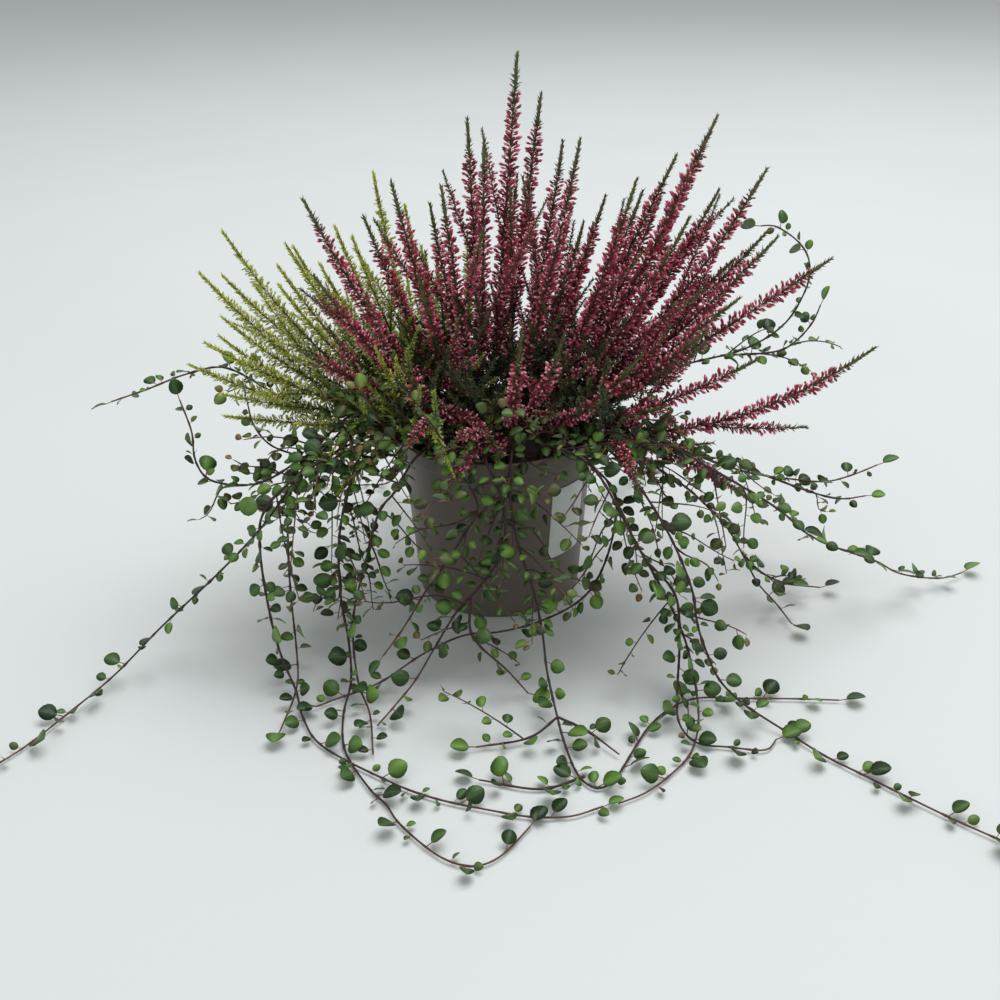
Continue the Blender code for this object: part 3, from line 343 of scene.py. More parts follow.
# Each vine: its stems as routes (x, y, z). The first stem starts in the soil, a further one on the stem
# before it that its first point lies nearest to.
VINES_MM = (
    (((-55, -12, 105), (-61, -15, 120), (-80, -24, 133), (-102, -50, 131), (-120, -82, 114),
      (-140, -95, 90), (-170, -93, 58), (-205, -103, 28), (-230, -125, 9), (-250, -155, 3),
      (-266, -185, 2), (-282, -206, 2)),),
    (((-46, -26, 105), (-52, -31, 120), (-80, -56, 130), (-115, -84, 120), (-135, -101, 105),
      (-139, -106, 80), (-136, -113, 42), (-130, -122, 18), (-120, -140, 7), (-112, -164, 3),
      (-98, -187, 2), (-60, -216, 2), (-35, -230, 2), (-5, -240, 2), (15, -245, 2), (35, -245, 2),
      (52, -238, 2)),
     ((-76, -50, 130), (-85, -72, 118), (-95, -85, 82), (-96, -96, 45), (-91, -112, 22), (-88, -135, 9),
      (-90, -160, 4), (-86, -190, 2), (-70, -221, 2), (-60, -234, 2), (-53, -247, 2), (-40, -263, 2),
      (-28, -274, 2), (-15, -279, 2), (-4, -275, 2), (5, -265, 2), (14, -252, 2))),
    (((-51, -19, 105), (-58, -23, 120), (-84, -42, 136), (-105, -62, 124), (-124, -74, 104),
      (-128, -76, 75), (-128, -86, 40), (-124, -106, 14), (-120, -135, 5), (-124, -172, 3)),
     ((-105, -62, 124), (-118, -52, 116), (-148, -50, 98), (-176, -50, 100), (-186, -46, 112),
      (-187, -42, 130), (-192, -40, 150))),
    (((-30, -38, 105), (-34, -47, 121), (-48, -70, 124), (-60, -88, 110), (-70, -92, 98), (-80, -96, 65),
      (-88, -108, 33), (-84, -135, 10), (-75, -160, 4), (-70, -195, 3)),),
    (((6, -46, 105), (6, -54, 120), (5, -72, 120), (10, -90, 82), (20, -110, 55), (25, -126, 35),
      (27, -142, 20), (31, -165, 9), (35, -190, 4), (41, -214, 2), (50, -224, 2), (60, -217, 2),
      (75, -188, 2), (84, -172, 2), (98, -156, 2), (115, -147, 2), (140, -148, 2), (170, -149, 2),
      (196, -151, 2)),
     ((32, -180, 6), (15, -184, 4), (-14, -190, 3)),
     ((44, -222, 2), (20, -224, 2), (-12, -216, 2)),
     ((33, -170, 8), (48, -180, 5), (64, -198, 3))),
    (((37, -42, 105), (42, -49, 120), (52, -74, 124), (64, -100, 114), (80, -115, 86), (95, -122, 60),
      (106, -134, 38), (111, -146, 20), (112, -160, 11), (110, -178, 5), (103, -197, 2), (90, -214, 2),
      (75, -228, 2), (60, -236, 2)),
     ((90, -120, 70), (102, -124, 58), (104, -136, 32), (101, -156, 13), (100, -174, 5), (108, -188, 2),
      (125, -192, 2), (144, -195, 2), (152, -186, 2))),
    (((46, -33, 105), (51, -38, 120), (64, -62, 126), (80, -90, 116), (98, -112, 92), (110, -128, 66),
      (113, -138, 48), (117, -146, 36), (124, -156, 22), (135, -165, 13), (147, -172, 7), (160, -182, 3),
      (175, -200, 2), (190, -215, 2), (225, -249, 2), (252, -272, 2)),),
    (((55, -14, 105), (60, -16, 120), (80, -34, 128), (112, -62, 120), (150, -84, 104), (172, -77, 86),
      (187, -70, 70), (205, -62, 56), (225, -55, 45), (245, -46, 33), (262, -38, 20), (284, -28, 10),
      (302, -20, 5), (316, -12, 4)),),
    (((57, 1, 105), (62, 1, 120), (84, 2, 116), (108, 0, 101), (135, 5, 86), (168, 5, 74), (192, 4, 70),
      (220, 6, 66), (240, 10, 69), (256, 12, 75)),
     ((188, 4, 70), (210, -2, 62), (228, -8, 60), (243, -12, 64))),
    (((50, -25, 105), (53, -27, 120), (75, -40, 126), (100, -52, 106), (122, -48, 86), (145, -44, 60),
      (157, -44, 40), (168, -48, 20), (180, -56, 8), (186, -72, 4)),
     ((160, -44, 35), (172, -38, 22), (190, -36, 12), (214, -32, 6))),
    (((50, 20, 105), (54, 22, 120), (80, 34, 122), (108, 42, 127), (130, 47, 136), (155, 50, 141),
      (170, 50, 146), (184, 50, 154), (195, 49, 165), (202, 47, 180), (205, 44, 195), (202, 40, 210),
      (193, 37, 222), (178, 34, 232), (168, 32, 233)),
     ((162, 50, 143), (190, 55, 141), (205, 58, 148), (215, 60, 160), (219, 60, 172))),
    (((-57, 2, 105), (-62, 2, 120), (-84, 0, 119), (-112, -2, 121), (-140, -2, 137), (-170, -2, 156),
      (-195, -6, 154), (-220, -11, 146), (-242, -16, 140)),),
    (((-40, -31, 105), (-44, -37, 121), (-64, -58, 127), (-84, -70, 132), (-104, -56, 116),
      (-126, -42, 114), (-140, -44, 122), (-148, -45, 136), (-150, -45, 150)),),
    (((-4, -48, 105), (-5, -55, 120), (-4, -72, 120), (4, -86, 96), (2, -94, 72), (-9, -102, 56),
      (-25, -112, 42), (-38, -125, 26), (-50, -140, 12), (-62, -155, 5), (-72, -170, 3)),
     ((-25, -112, 42), (-16, -124, 32), (4, -136, 16), (16, -148, 8))),
    (((-17, -46, 105), (-20, -54, 120), (-26, -70, 121), (-12, -84, 98), (-22, -92, 80), (-32, -98, 66),
      (-42, -108, 56), (-56, -122, 38), (-68, -134, 26)),),
    (((24, -46, 105), (28, -53, 121), (46, -66, 122), (72, -50, 90), (72, -56, 62), (62, -74, 42),
      (48, -88, 32), (24, -100, 26), (0, -106, 23), (-22, -108, 22), (-46, -118, 16), (-70, -134, 8),
      (-92, -142, 4), (-106, -150, 3)),),
    (((20, 50, 105), (22, 57, 120), (28, 78, 118), (36, 98, 92), (40, 116, 50), (38, 138, 16),
      (28, 160, 4), (8, 178, 2), (-16, 184, 2)),
     ((36, 98, 92), (60, 108, 70), (84, 122, 34), (104, 140, 9), (124, 158, 3))),
    (((-22, 50, 105), (-25, 57, 120), (-40, 78, 118), (-56, 96, 88), (-68, 112, 46), (-84, 128, 12),
      (-106, 140, 3), (-132, 142, 2)),),
)




class Shoot:
    """One flowering shoot: a quadratic curve from its fork to its tip, and the room that its buds have."""

    def __init__(self, spray, kind, start, tip, lift):
        reach = tip - start
        self.spray = spray
        self.kind = kind
        self.start = start
        self.bend = start + reach * np.array((BEND_REACH, BEND_REACH, lift))
        self.tip = tip
        self.radii = None

    def points(self, t):
        t = np.asarray(t)[:, None]
        return (1 - t) ** 2 * self.start + 2 * t * (1 - t) * self.bend + t * t * self.tip

    def tangents(self, t):
        t = np.asarray(t)[:, None]
        run = (1 - t) * (self.bend - self.start) + t * (self.tip - self.bend)
        return run / np.linalg.norm(run, axis=1)[:, None]

    def samples(self):
        return self.points(np.linspace(0, 1, SAMPLES))

    def length(self):
        return float(np.linalg.norm(np.diff(self.samples(), axis=0), axis=1).sum())

    def wanted_radii(self):
        """The radius that the leaves and buds would like, thin at the foot and at the tip."""
        t = np.linspace(0, 1, SAMPLES)
        along = t * self.length()
        full = FLORET_RADIUS[self.kind]
        swell = np.clip((along - LEAFY_FROM) / (FULL_FROM - LEAFY_FROM), 0, 1)
        radii = np.where(along < LEAFY_FROM, STEM_RADIUS, LEAFY_RADIUS + (full - LEAFY_RADIUS) * swell)
        taper = np.clip((1 - t) / TIP_SHARE, 0, 1)
        return np.minimum(radii, TIP_RADIUS + (full - TIP_RADIUS) * taper)

    def radius(self, t):
        return np.interp(t, np.linspace(0, 1, SAMPLES), self.radii)


def plan_shoots():
    """Lay out every shoot from the two tables."""
    shoots = []
    feet = []
    for kind, table in (("pink", PINK_SPRAYS_MM), ("white", WHITE_SPRAYS_MM)):
        for number, (foot, tips) in enumerate(table, start=1):
            spray = "%s_heather_spray_%02d" % (kind, number)
            fork = np.array((foot[0] * MM, foot[1] * MM, SOIL_TOP + STUB_RISE))
            feet.append((spray, fork))
            aims = [np.array(tip[:3]) * MM - fork for tip in tips]
            aims = [aim / np.linalg.norm(aim) for aim in aims]
            middle = sum(aims) / len(aims)
            for tip, aim in zip(tips, aims):
                aside = (aim - middle)[:2]
                aside = aside / max(np.linalg.norm(aside), 1e-6) * FORK_CIRCLE
                start = fork + np.array((aside[0], aside[1], 0.0))
                shoots.append(Shoot(spray, kind, start, np.array(tip[:3]) * MM, tip[3]))
    return shoots, feet


def near_pairs(points, radii, owner):
    """The pairs of points on different shoots that lie near enough to touch within a few rounds."""
    squares = (points ** 2).sum(axis=1)
    apart = squares[:, None] + squares[None, :] - 2 * points @ points.T
    reach = radii[:, None] + radii[None, :] + ROOM_GAP + PAIR_MARGIN
    return np.nonzero((apart < reach ** 2) & (owner[:, None] != owner[None, :]))


def settle_shoots(shoots):
    """Bend shoots apart where they come too near each other, mostly towards the front or the back."""
    t = np.linspace(0, 1, SAMPLES)
    pull_bend = 2 * t * (1 - t)
    pull_tip = t * t
    owner = np.repeat(np.arange(len(shoots)), SAMPLES)
    for number in range(SETTLE_ROUNDS):
        points = np.concatenate([shoot.samples() for shoot in shoots])
        radii = np.concatenate([shoot.wanted_radii() for shoot in shoots])
        if number % PAIR_ROUNDS == 0:
            one, other = near_pairs(points, radii, owner)
        apart = points[one] - points[other]
        distance = np.sqrt((apart ** 2).sum(axis=1)) + 1e-9
        short = np.maximum(radii[one] + radii[other] + ROOM_GAP - distance, 0.0)
        force = apart / distance[:, None] * short[:, None]
        push = np.column_stack([np.bincount(one, force[:, axis], len(points)) for axis in range(3)])
        push = push * SETTLE_SHARE * np.array(SETTLE_WAYS)
        for k, shoot in enumerate(shoots):
            own = push[k * SAMPLES:(k + 1) * SAMPLES]
            shoot.bend = shoot.bend + (own * pull_bend[:, None]).sum(axis=0)
            shoot.tip = shoot.tip + (own * pull_tip[:, None]).sum(axis=0)


def fit_radii(shoots):
    """Give each shoot the radius it has room for beside the shoots of other sprays."""
    for shoot in shoots:
        shoot.radii = shoot.wanted_radii()
    spray = np.repeat([shoot.spray for shoot in shoots], SAMPLES)
    points = np.concatenate([shoot.samples() for shoot in shoots])
    radii = np.concatenate([shoot.radii for shoot in shoots])
    squares = (points ** 2).sum(axis=1)
    distance = np.sqrt(np.maximum(squares[:, None] + squares[None, :] - 2 * points @ points.T, 0.0))
    distance[spray[:, None] == spray[None, :]] = 1.0
    share = radii[:, None] / (radii[:, None] + radii[None, :])
    fitted = np.minimum(radii, ((distance - ROOM_GAP) * share).min(axis=1))
    for k, shoot in enumerate(shoots):
        own = fitted[k * SAMPLES:(k + 1) * SAMPLES]
        beside = np.minimum(np.roll(own, 1), np.roll(own, -1))
        shoot.radii = np.maximum(np.minimum(own, beside + RADIUS_RISE), LEAST_RADIUS)


def wall_radius(z):
    """Outer radius of the pot's wall at a height."""
    return POT_FOOT_RADIUS + (POT_TOP_RADIUS - POT_FOOT_RADIUS) * z / POT_HEIGHT


def smooth_route(points, step):
    """Points at an even step along a smooth curve through the route's own points."""
    p = np.array([points[0]] + list(points) + [points[-1]], float)
    p[0] = 2 * p[1] - p[2]
    p[-1] = 2 * p[-2] - p[-3]
    dense = []
    for k in range(1, len(p) - 2):
        for t in np.linspace(0, 1, ROUTE_PARTS, endpoint=False):
            dense.append(0.5 * (2 * p[k] + (p[k + 1] - p[k - 1]) * t
                                + (2 * p[k - 1] - 5 * p[k] + 4 * p[k + 1] - p[k + 2]) * t * t
                                + (3 * p[k] - p[k - 1] - 3 * p[k + 1] + p[k + 2]) * t ** 3))
    dense.append(p[-2])
    dense = np.array(dense)
    run = run_of(dense)
    count = max(3, int(round(run[-1] / step)) + 1)
    return at_run(dense, np.linspace(0, run[-1], count))


def run_of(points):
    """The length along a line at each of its points."""
    return np.concatenate(([0.0], np.cumsum(np.linalg.norm(np.diff(points, axis=0), axis=1))))


def at_run(points, places):
    """The points of a line at given lengths along it."""
    run = run_of(points)
    return np.column_stack([np.interp(places, run, points[:, axis]) for axis in range(3)])


class Room:
    """Everything that already stands somewhere, as balls, each with the name of its node."""

    def __init__(self):
        self.points = np.empty((0, 3))
        self.radii = np.empty(0)
        self.nodes = np.empty(0, dtype=object)

    def add(self, node, points, radii):
        self.points = np.concatenate((self.points, points))
        self.radii = np.concatenate((self.radii, radii))
        self.nodes = np.concatenate((self.nodes, np.array([node] * len(points), dtype=object)))

    def beside(self, node, points):
        """The balls of other nodes that a route may come to touch."""
        low = points.min(axis=0) - ROUTE_REACH
        high = points.max(axis=0) + ROUTE_REACH
        near = ((self.points > low) & (self.points < high)).all(axis=1) & (self.nodes != node)
        return self.points[near], self.radii[near]


def push_apart(points, radius, gap, others, radii):
    """How far each point has to move to be clear of the balls."""
    if not len(others):
        return np.zeros_like(points)
    apart = points[:, None, :] - others[None, :, :]
    distance = np.sqrt((apart ** 2).sum(axis=2)) + 1e-9
    short = np.maximum(radii[None, :] + radius + gap - distance, 0.0)
    worst = short.argmax(axis=1)
    rows = np.arange(len(points))
    return apart[rows, worst] / distance[rows, worst][:, None] * short[rows, worst][:, None]


def pot_push(points, radius):
    """How far each point has to move to stay off the pot, the soil and the ground."""
    move = np.zeros_like(points)
    flat = np.linalg.norm(points[:, :2], axis=1) + 1e-9
    out = points[:, :2] / flat[:, None]
    keep = radius + POT_GAP
    move[:, 2] = np.maximum(radius + GROUND_GAP - points[:, 2], 0.0)
    by_rim = points[:, 2] > POT_HEIGHT - POT_RIM_DEPTH - keep
    wall = np.where(by_rim, POT_RIM_RADIUS, wall_radius(points[:, 2]))
    outside = (flat > POT_RIM_RADIUS - POT_WALL) & (points[:, 2] < POT_HEIGHT)
    beyond = np.where(outside, np.maximum(wall + keep - flat, 0.0), 0.0)
    move[:, :2] += out * beyond[:, None]
    over = (flat > POT_RIM_RADIUS - RIM_INSIDE) & (flat < POT_RIM_RADIUS + keep)
    over = over & (points[:, 2] > POT_HEIGHT - RIM_UNDER)
    move[:, 2] += np.where(over, np.maximum(POT_HEIGHT + keep - points[:, 2], 0.0), 0.0)
    return move


def clear_route(room, node, points, held):
    """Bend a route round what is in its way. The first points stay where they are held."""
    others, radii = room.beside(node, points)
    start = points.copy()
    shift = np.zeros_like(points)
    for _ in range(ROUTE_ROUNDS):
        now = start + shift
        move = push_apart(now, VINE_RADIUS, VINE_GAP, others, radii) + pot_push(now, VINE_RADIUS)
        move[:held] = 0.0
        shift = shift + move * ROUTE_SHARE
        padded = np.vstack((shift[:1], shift, shift[-1:]))
        soft = (padded[:-2] + 2 * shift + padded[2:]) / 4
        shift = (1 - ROUTE_SOFTEN) * shift + ROUTE_SOFTEN * soft
        shift[:held] = 0.0
    return start + shift


def up_frames(points):
    """Tangent, side and upper direction at each point, turning smoothly and back towards upright."""
    frames = []
    over = np.array((0.0, 0.0, 1.0))
    count = len(points)
    for k in range(count):
        ahead = points[min(k + 1, count - 1)] - points[max(k - 1, 0)]
        ahead = ahead / np.linalg.norm(ahead)
        upright = np.array((0.0, 0.0, 1.0)) - ahead * ahead[2]
        over = over - ahead * over.dot(ahead) + UPRIGHT_PULL * upright
        over = over / np.linalg.norm(over)
        frames.append((ahead, np.cross(ahead, over), over))
    return frames


def stem_places(run, near_steps):
    """Lengths along a stem at its rings, and the numbers of those that a leaf grows from."""
    places = [0.0]
    joints = []
    for step in near_steps:
        places.append(places[-1] + step)
    while places[-1] + SPAN < run - SPAN / 2:
        places.append(places[-1] + SPAN)
        joints.append(len(places) - 1)
        places.append(places[-1] + JOINT_LENGTH)
    places.append(run)
    return places, joints


def chain_points(points):
    """Points every few millimetres along straight spans."""
    chain = [points[0]]
    for a, b in zip(points, points[1:]):
        steps = max(1, int(np.linalg.norm(b - a) / CHAIN_STEP))
        chain += [a + (b - a) * (k + 1) / steps for k in range(steps)]
    return np.array(chain)


def span_middles(points):
    """The middles of a stem's long spans, where a further stem starts."""
    middles = (points[:-1] + points[1:]) / 2
    return middles[np.linalg.norm(np.diff(points, axis=0), axis=1) > 2 * JOINT_LENGTH]


@functools.lru_cache(maxsize=1)
def plan_plants():
    """The shoots with their room, their feet, and the route and joints of every vine stem."""
    shoots, feet = plan_shoots()
    settle_shoots(shoots)
    fit_radii(shoots)
    room = Room()
    for shoot in shoots:
        room.add(shoot.spray, shoot.samples(), shoot.radii + SHOOT_GAP)
    for spray, fork in feet:
        room.add(spray, np.array([fork, fork - (0, 0, STUB_RISE / 2), fork - (0, 0, STUB_RISE)]),
                 np.full(3, STUB_RADIUS * STUB_ROOM))
    vines = {}
    for number, stems in enumerate(VINES_MM, start=1):
        node = "vine_%02d" % number
        vines[node] = []
        for stem in stems:
            route = np.array(stem) * MM
            held = VINE_HELD
            if vines[node]:
                known = np.concatenate([span_middles(rings) for line, rings, joints in vines[node]])
                route[0] = known[np.linalg.norm(known - route[0], axis=1).argmin()]
                held = 1
            line = clear_route(room, node, smooth_route(route, ROUTE_STEP), held)
            places, joints = stem_places(run_of(line)[-1], () if vines[node] else NEAR_STEPS)
            rings = at_run(line, places)
            chain = chain_points(rings)
            room.add(node, chain, np.full(len(chain), VINE_RADIUS))
            vines[node].append((line, rings, joints))
    return shoots, feet, vines


def paint(red, green, blue):
    """A colour in linear light from its 8-bit screen values."""
    shares = [value / 255 for value in (red, green, blue)]
    linear = [((share + 0.055) / 1.055) ** 2.4 if share > 0.04045 else share / 12.92 for share in shares]
    return (*linear, 1.0)


def add_node(tree, kind, settings=None, feeds=None):
    """A node with its settings, and its inputs set to values or fed by other nodes' sockets."""
    made = tree.nodes.new(kind)
    for key, value in (settings or {}).items():
        setattr(made, key, value)
    for key, value in (feeds or {}).items():
        if isinstance(value, bpy.types.NodeSocket):
            tree.links.new(value, made.inputs[key])
        else:
            made.inputs[key].default_value = value
    return made


def calculate(tree, operation, *values):
    """The result of a Math node."""
    return add_node(tree, "ShaderNodeMath", {"operation": operation}, dict(enumerate(values))).outputs[0]


def scaled(tree, value, share):
    """A value times a share."""
    return calculate(tree, "MULTIPLY", value, share)


def inverse(tree, value):
    """What a value leaves of 1."""
    return calculate(tree, "SUBTRACT", 1.0, value)


def smooth_step(tree, value, low, high):
    """0 below low, 1 above high and a smooth rise between them."""
    ranged = add_node(tree, "ShaderNodeMapRange", {"interpolation_type": "SMOOTHSTEP"},
                      {"Value": value, "From Min": low, "From Max": high})
    return ranged.outputs["Result"]


def mix_colours(tree, share, one, other):
    """One colour turning into another as the share rises from 0 to 1."""
    mixed = add_node(tree, "ShaderNodeMix", {"data_type": "RGBA"}, {0: share, 6: one, 7: other})
    return mixed.outputs[2]


def piece_value(tree, name):
    """A number that the piece's own points carry."""
    return add_node(tree, "ShaderNodeAttribute", {"attribute_name": name}).outputs["Fac"]


def map_place(tree):
    """How far across and how far along a piece's own map a point lies."""
    place = add_node(tree, "ShaderNodeUVMap", {"uv_map": "UVMap"}).outputs["UV"]
    split = add_node(tree, "ShaderNodeSeparateXYZ", {}, {0: place}).outputs
    return split["X"], split["Y"]


def noise_on_piece(tree, scale, detail=2.0, roughness=0.5):
    """Noise in the piece's own coordinates, from 0 to 1."""
    place = add_node(tree, "ShaderNodeTexCoord").outputs["Object"]
    made = add_node(tree, "ShaderNodeTexNoise", {},
                    {"Vector": place, "Scale": scale, "Detail": detail, "Roughness": roughness})
    return made.outputs["Fac"]


def shader_group(name, inputs, outputs):
    """An empty shader node group with its sockets: colours have a tuple as their default."""
    group = bpy.data.node_groups.new(name, "ShaderNodeTree")
    for label, value in inputs:
        kind = "NodeSocketColor" if isinstance(value, tuple) else "NodeSocketFloat"
        group.interface.new_socket(label, in_out="INPUT", socket_type=kind).default_value = value
    for label in outputs:
        kind = "NodeSocketColor" if label == "Colour" else "NodeSocketFloat"
        group.interface.new_socket(label, in_out="OUTPUT", socket_type=kind)
    return group, group.nodes.new("NodeGroupInput").outputs, group.nodes.new("NodeGroupOutput")


def put_out(group, result, **values):
    """Feed a group's outputs and hand the group back."""
    for key, value in values.items():
        group.links.new(value, result.inputs[key.title()])
    return group


@functools.lru_cache(maxsize=1)
def growth_tones():
    """Three colours of living growth, dark to light, by the tone of each bud or leaf and by blotches."""
    group, given, result = shader_group("Growth Tones", (
        ("Dark", paint(30, 45, 25)), ("Middle", paint(60, 90, 45)), ("Light", paint(110, 150, 70)),
        ("Blotch Scale", 300.0), ("Blotch Amount", 0.5)), ("Colour", "Tone"))
    blotch = calculate(group, "SUBTRACT", noise_on_piece(group, given["Blotch Scale"]), 0.5)
    tone = calculate(group, "MULTIPLY_ADD", blotch, given["Blotch Amount"], piece_value(group, "tone"))
    tone = add_node(group, "ShaderNodeClamp", {}, {0: tone}).outputs[0]
    low = mix_colours(group, smooth_step(group, tone, 0.0, 0.55), given["Dark"], given["Middle"])
    full = mix_colours(group, smooth_step(group, tone, 0.5, 1.0), low, given["Light"])
    return put_out(group, result, colour=full, tone=tone)


@functools.lru_cache(maxsize=1)
def leaf_veins():
    """A midrib and slanting side veins over a leaf's own map, and where along and across it a point lies."""
    group, given, result = shader_group("Leaf Veins", (
        ("Rib Width", 0.035), ("Side Veins", 5.0), ("Stalk Share", LEAF_STALK)), ("Veins", "Stalk", "Edge"))
    across, along = map_place(group)
    across = calculate(group, "FRACT", across)
    across = calculate(group, "ABSOLUTE", calculate(group, "SUBTRACT", across, 0.5))
    rib = inverse(group, smooth_step(group, across, 0.0, given["Rib Width"]))
    slant = calculate(group, "SUBTRACT", along, scaled(group, across, 0.8))
    wave = calculate(group, "FRACT", scaled(group, slant, given["Side Veins"]))
    away = calculate(group, "ABSOLUTE", calculate(group, "SUBTRACT", wave, 0.5))
    side = smooth_step(group, away, 0.42, 0.5)
    stalk_end = given["Stalk Share"]
    blade = smooth_step(group, along, stalk_end, calculate(group, "ADD", stalk_end, 0.08))
    return put_out(group, result, veins=calculate(group, "MAXIMUM", rib, scaled(group, side, 0.5)),
                   stalk=inverse(group, blade), edge=smooth_step(group, across, 0.36, 0.5))


@functools.lru_cache(maxsize=1)
def surface_grain():
    """Fine grain and soft dents, as a height from 0 to 1, and sparse specks as a mask."""
    group, given, result = shader_group("Surface Grain", (
        ("Grain Scale", 900.0), ("Dent Scale", 60.0), ("Dent Share", 0.5), ("Speck Scale", 700.0),
        ("Speck Level", 0.68)), ("Height", "Specks", "Dents"))
    grain = noise_on_piece(group, given["Grain Scale"], 3.0)
    dents = noise_on_piece(group, given["Dent Scale"], 2.0)
    height = add_node(group, "ShaderNodeMix", {"data_type": "FLOAT"},
                      {0: given["Dent Share"], 2: grain, 3: dents}).outputs[0]
    level = given["Speck Level"]
    specks = smooth_step(group, noise_on_piece(group, given["Speck Scale"], 1.0), level,
                         calculate(group, "ADD", level, 0.05))
    return put_out(group, result, height=height, specks=specks, dents=dents)


def place_group(tree, group, **values):
    """A shader group in a material, with its own values."""
    feeds = {key.replace("_", " ").title(): value for key, value in values.items()}
    return add_node(tree, "ShaderNodeGroup", {"node_tree": group}, feeds).outputs


def new_finish(name, **constants):
    """A material with its Principled shader and constants set on the shader's own sockets."""
    mat = bpy.data.materials.new(name)
    mat.use_nodes = True
    tree = mat.node_tree
    shader = tree.nodes["Principled BSDF"]
    for key, value in constants.items():
        shader.inputs[key.replace("_", " ").title()].default_value = value
    return mat, tree, shader


def dress(tree, shader, colour, rough, rough_range, height=None, bump=None):
    """Feed a shader its colour, its roughness between two limits, and a bump of a strength and a depth."""
    tree.links.new(colour, shader.inputs["Base Color"])
    ranged = add_node(tree, "ShaderNodeMapRange", {},
                      {"Value": rough, "To Min": rough_range[0], "To Max": rough_range[1]})
    tree.links.new(ranged.outputs["Result"], shader.inputs["Roughness"])
    if height is not None:
        made = add_node(tree, "ShaderNodeBump", {},
                        {"Height": height, "Strength": bump[0], "Distance": bump[1]})
        tree.links.new(made.outputs["Normal"], shader.inputs["Normal"])


def bud_finish(name, dark, middle, light, pale, sepal, dusk):
    """Closed buds: dark at the stalk, coloured further on, pale at the tip, which is partly the bud's own
    colour and partly a painted highlight, and dusky high on a spike.
    """
    mat, tree, shader = new_finish(name, sheen_weight=0.15, sheen_roughness=0.5)
    tones = place_group(tree, growth_tones(), dark=dark, middle=middle, light=light, blotch_scale=420.0,
                        blotch_amount=0.35)
    along = map_place(tree)[1]
    # The pale tip on the lighter buds is partly the buds' own colour and partly a painted highlight.
    pale_tip_and_highlight = scaled(tree, smooth_step(tree, along, 0.68, 0.92), smooth_step(tree, tones["Tone"], 0.35, 0.75))
    high = scaled(tree, smooth_step(tree, piece_value(tree, "share"), 0.72, 1.0), 0.6)
    colour = mix_colours(tree, pale_tip_and_highlight, mix_colours(tree, high, tones["Colour"], dusk), pale)
    colour = mix_colours(tree, inverse(tree, smooth_step(tree, along, 0.12, 0.42)), colour, sepal)
    grain = place_group(tree, surface_grain(), grain_scale=2600.0, dent_scale=900.0)
    dress(tree, shader, colour, grain["Dents"], (0.45, 0.7), grain["Height"], (0.3, 0.0002))
    return mat


def needle_finish(name, low_dark, low_light, tip_dark, tip_light):
    """Small scale-like leaves, which change colour from the foot of a shoot to its growing tip."""
    mat, tree, shader = new_finish(name)
    low = place_group(tree, growth_tones(), dark=low_dark, middle=low_dark, light=low_light,
                      blotch_scale=260.0, blotch_amount=0.5)
    high = place_group(tree, growth_tones(), dark=tip_dark, middle=tip_light, light=tip_light,
                       blotch_scale=260.0, blotch_amount=0.5)
    colour = mix_colours(tree, smooth_step(tree, piece_value(tree, "share"), 0.35, 0.9), low["Colour"],
                         high["Colour"])
    grain = place_group(tree, surface_grain(), grain_scale=3000.0, dent_scale=800.0)
    dress(tree, shader, colour, grain["Dents"], (0.5, 0.75), grain["Height"], (0.3, 0.0001))
    return mat


def bark_finish(name, dark, light, young):
    """A thin woody stem: ridged, darker in its furrows and fresher towards its tip."""
    mat, tree, shader = new_finish(name)
    grain = place_group(tree, surface_grain(), grain_scale=1800.0, dent_scale=240.0, dent_share=0.6)
    colour = mix_colours(tree, grain["Dents"], dark, light)
    colour = mix_colours(tree, smooth_step(tree, piece_value(tree, "share"), 0.6, 1.0), colour, young)
    dress(tree, shader, colour, grain["Height"], (0.4, 0.65), grain["Height"], (0.4, 0.0002))
    return mat


def leaf_finish(name, dark, middle, light, bronze, stalk, back):
    """A vine's leaf: waxy, veined, paler beneath, bronze while it is young and with a red-brown stalk."""
    mat, tree, shader = new_finish(name)
    tones = place_group(tree, growth_tones(), dark=dark, middle=middle, light=light, blotch_scale=160.0,
                        blotch_amount=0.4)
    veins = place_group(tree, leaf_veins())
    beneath = calculate(tree, "GREATER_THAN", map_place(tree)[0], LEAF_BACK_MARK)
    colour = tones["Colour"]
    for share, other in ((scaled(tree, veins["Veins"], 0.35), light),
                         (scaled(tree, veins["Edge"], 0.35), dark),
                         (piece_value(tree, "young"), bronze), (scaled(tree, beneath, 0.5), back),
                         (veins["Stalk"], stalk)):
        colour = mix_colours(tree, share, colour, other)
    grain = place_group(tree, surface_grain(), grain_scale=1400.0, dent_scale=300.0)
    height = calculate(tree, "SUBTRACT", grain["Height"], veins["Veins"])
    dress(tree, shader, colour, grain["Dents"], (0.32, 0.55), height, (0.35, 0.0003))
    return mat


def pot_finish(colour):
    """Moulded taupe plastic: satin, with faint flow marks, light specks and scuffs on its raised places."""
    mat, tree, shader = new_finish("pot_plastic")
    grain = place_group(tree, surface_grain(), grain_scale=1500.0, dent_scale=38.0, dent_share=0.35,
                        speck_scale=900.0, speck_level=0.7)
    dark, pale = [tuple(channel * share for channel in colour[:3]) + (1.0,) for share in (0.82, 1.35)]
    scuffs = scaled(tree, smooth_step(tree, noise_on_piece(tree, 190.0, 6.0, 0.7), 0.6, 0.72),
                    smooth_step(tree, noise_on_piece(tree, 22.0, 2.0), 0.45, 0.7))
    base = mix_colours(tree, grain["Dents"], dark, colour)
    base = mix_colours(tree, scaled(tree, grain["Specks"], 0.35), base, pale)
    base = mix_colours(tree, scaled(tree, scuffs, 0.5), base, pale)
    worn = calculate(tree, "ADD", scaled(tree, grain["Dents"], 0.5), scuffs)
    dress(tree, shader, base, worn, (0.38, 0.62), grain["Height"], (0.25, 0.0003))
    return mat


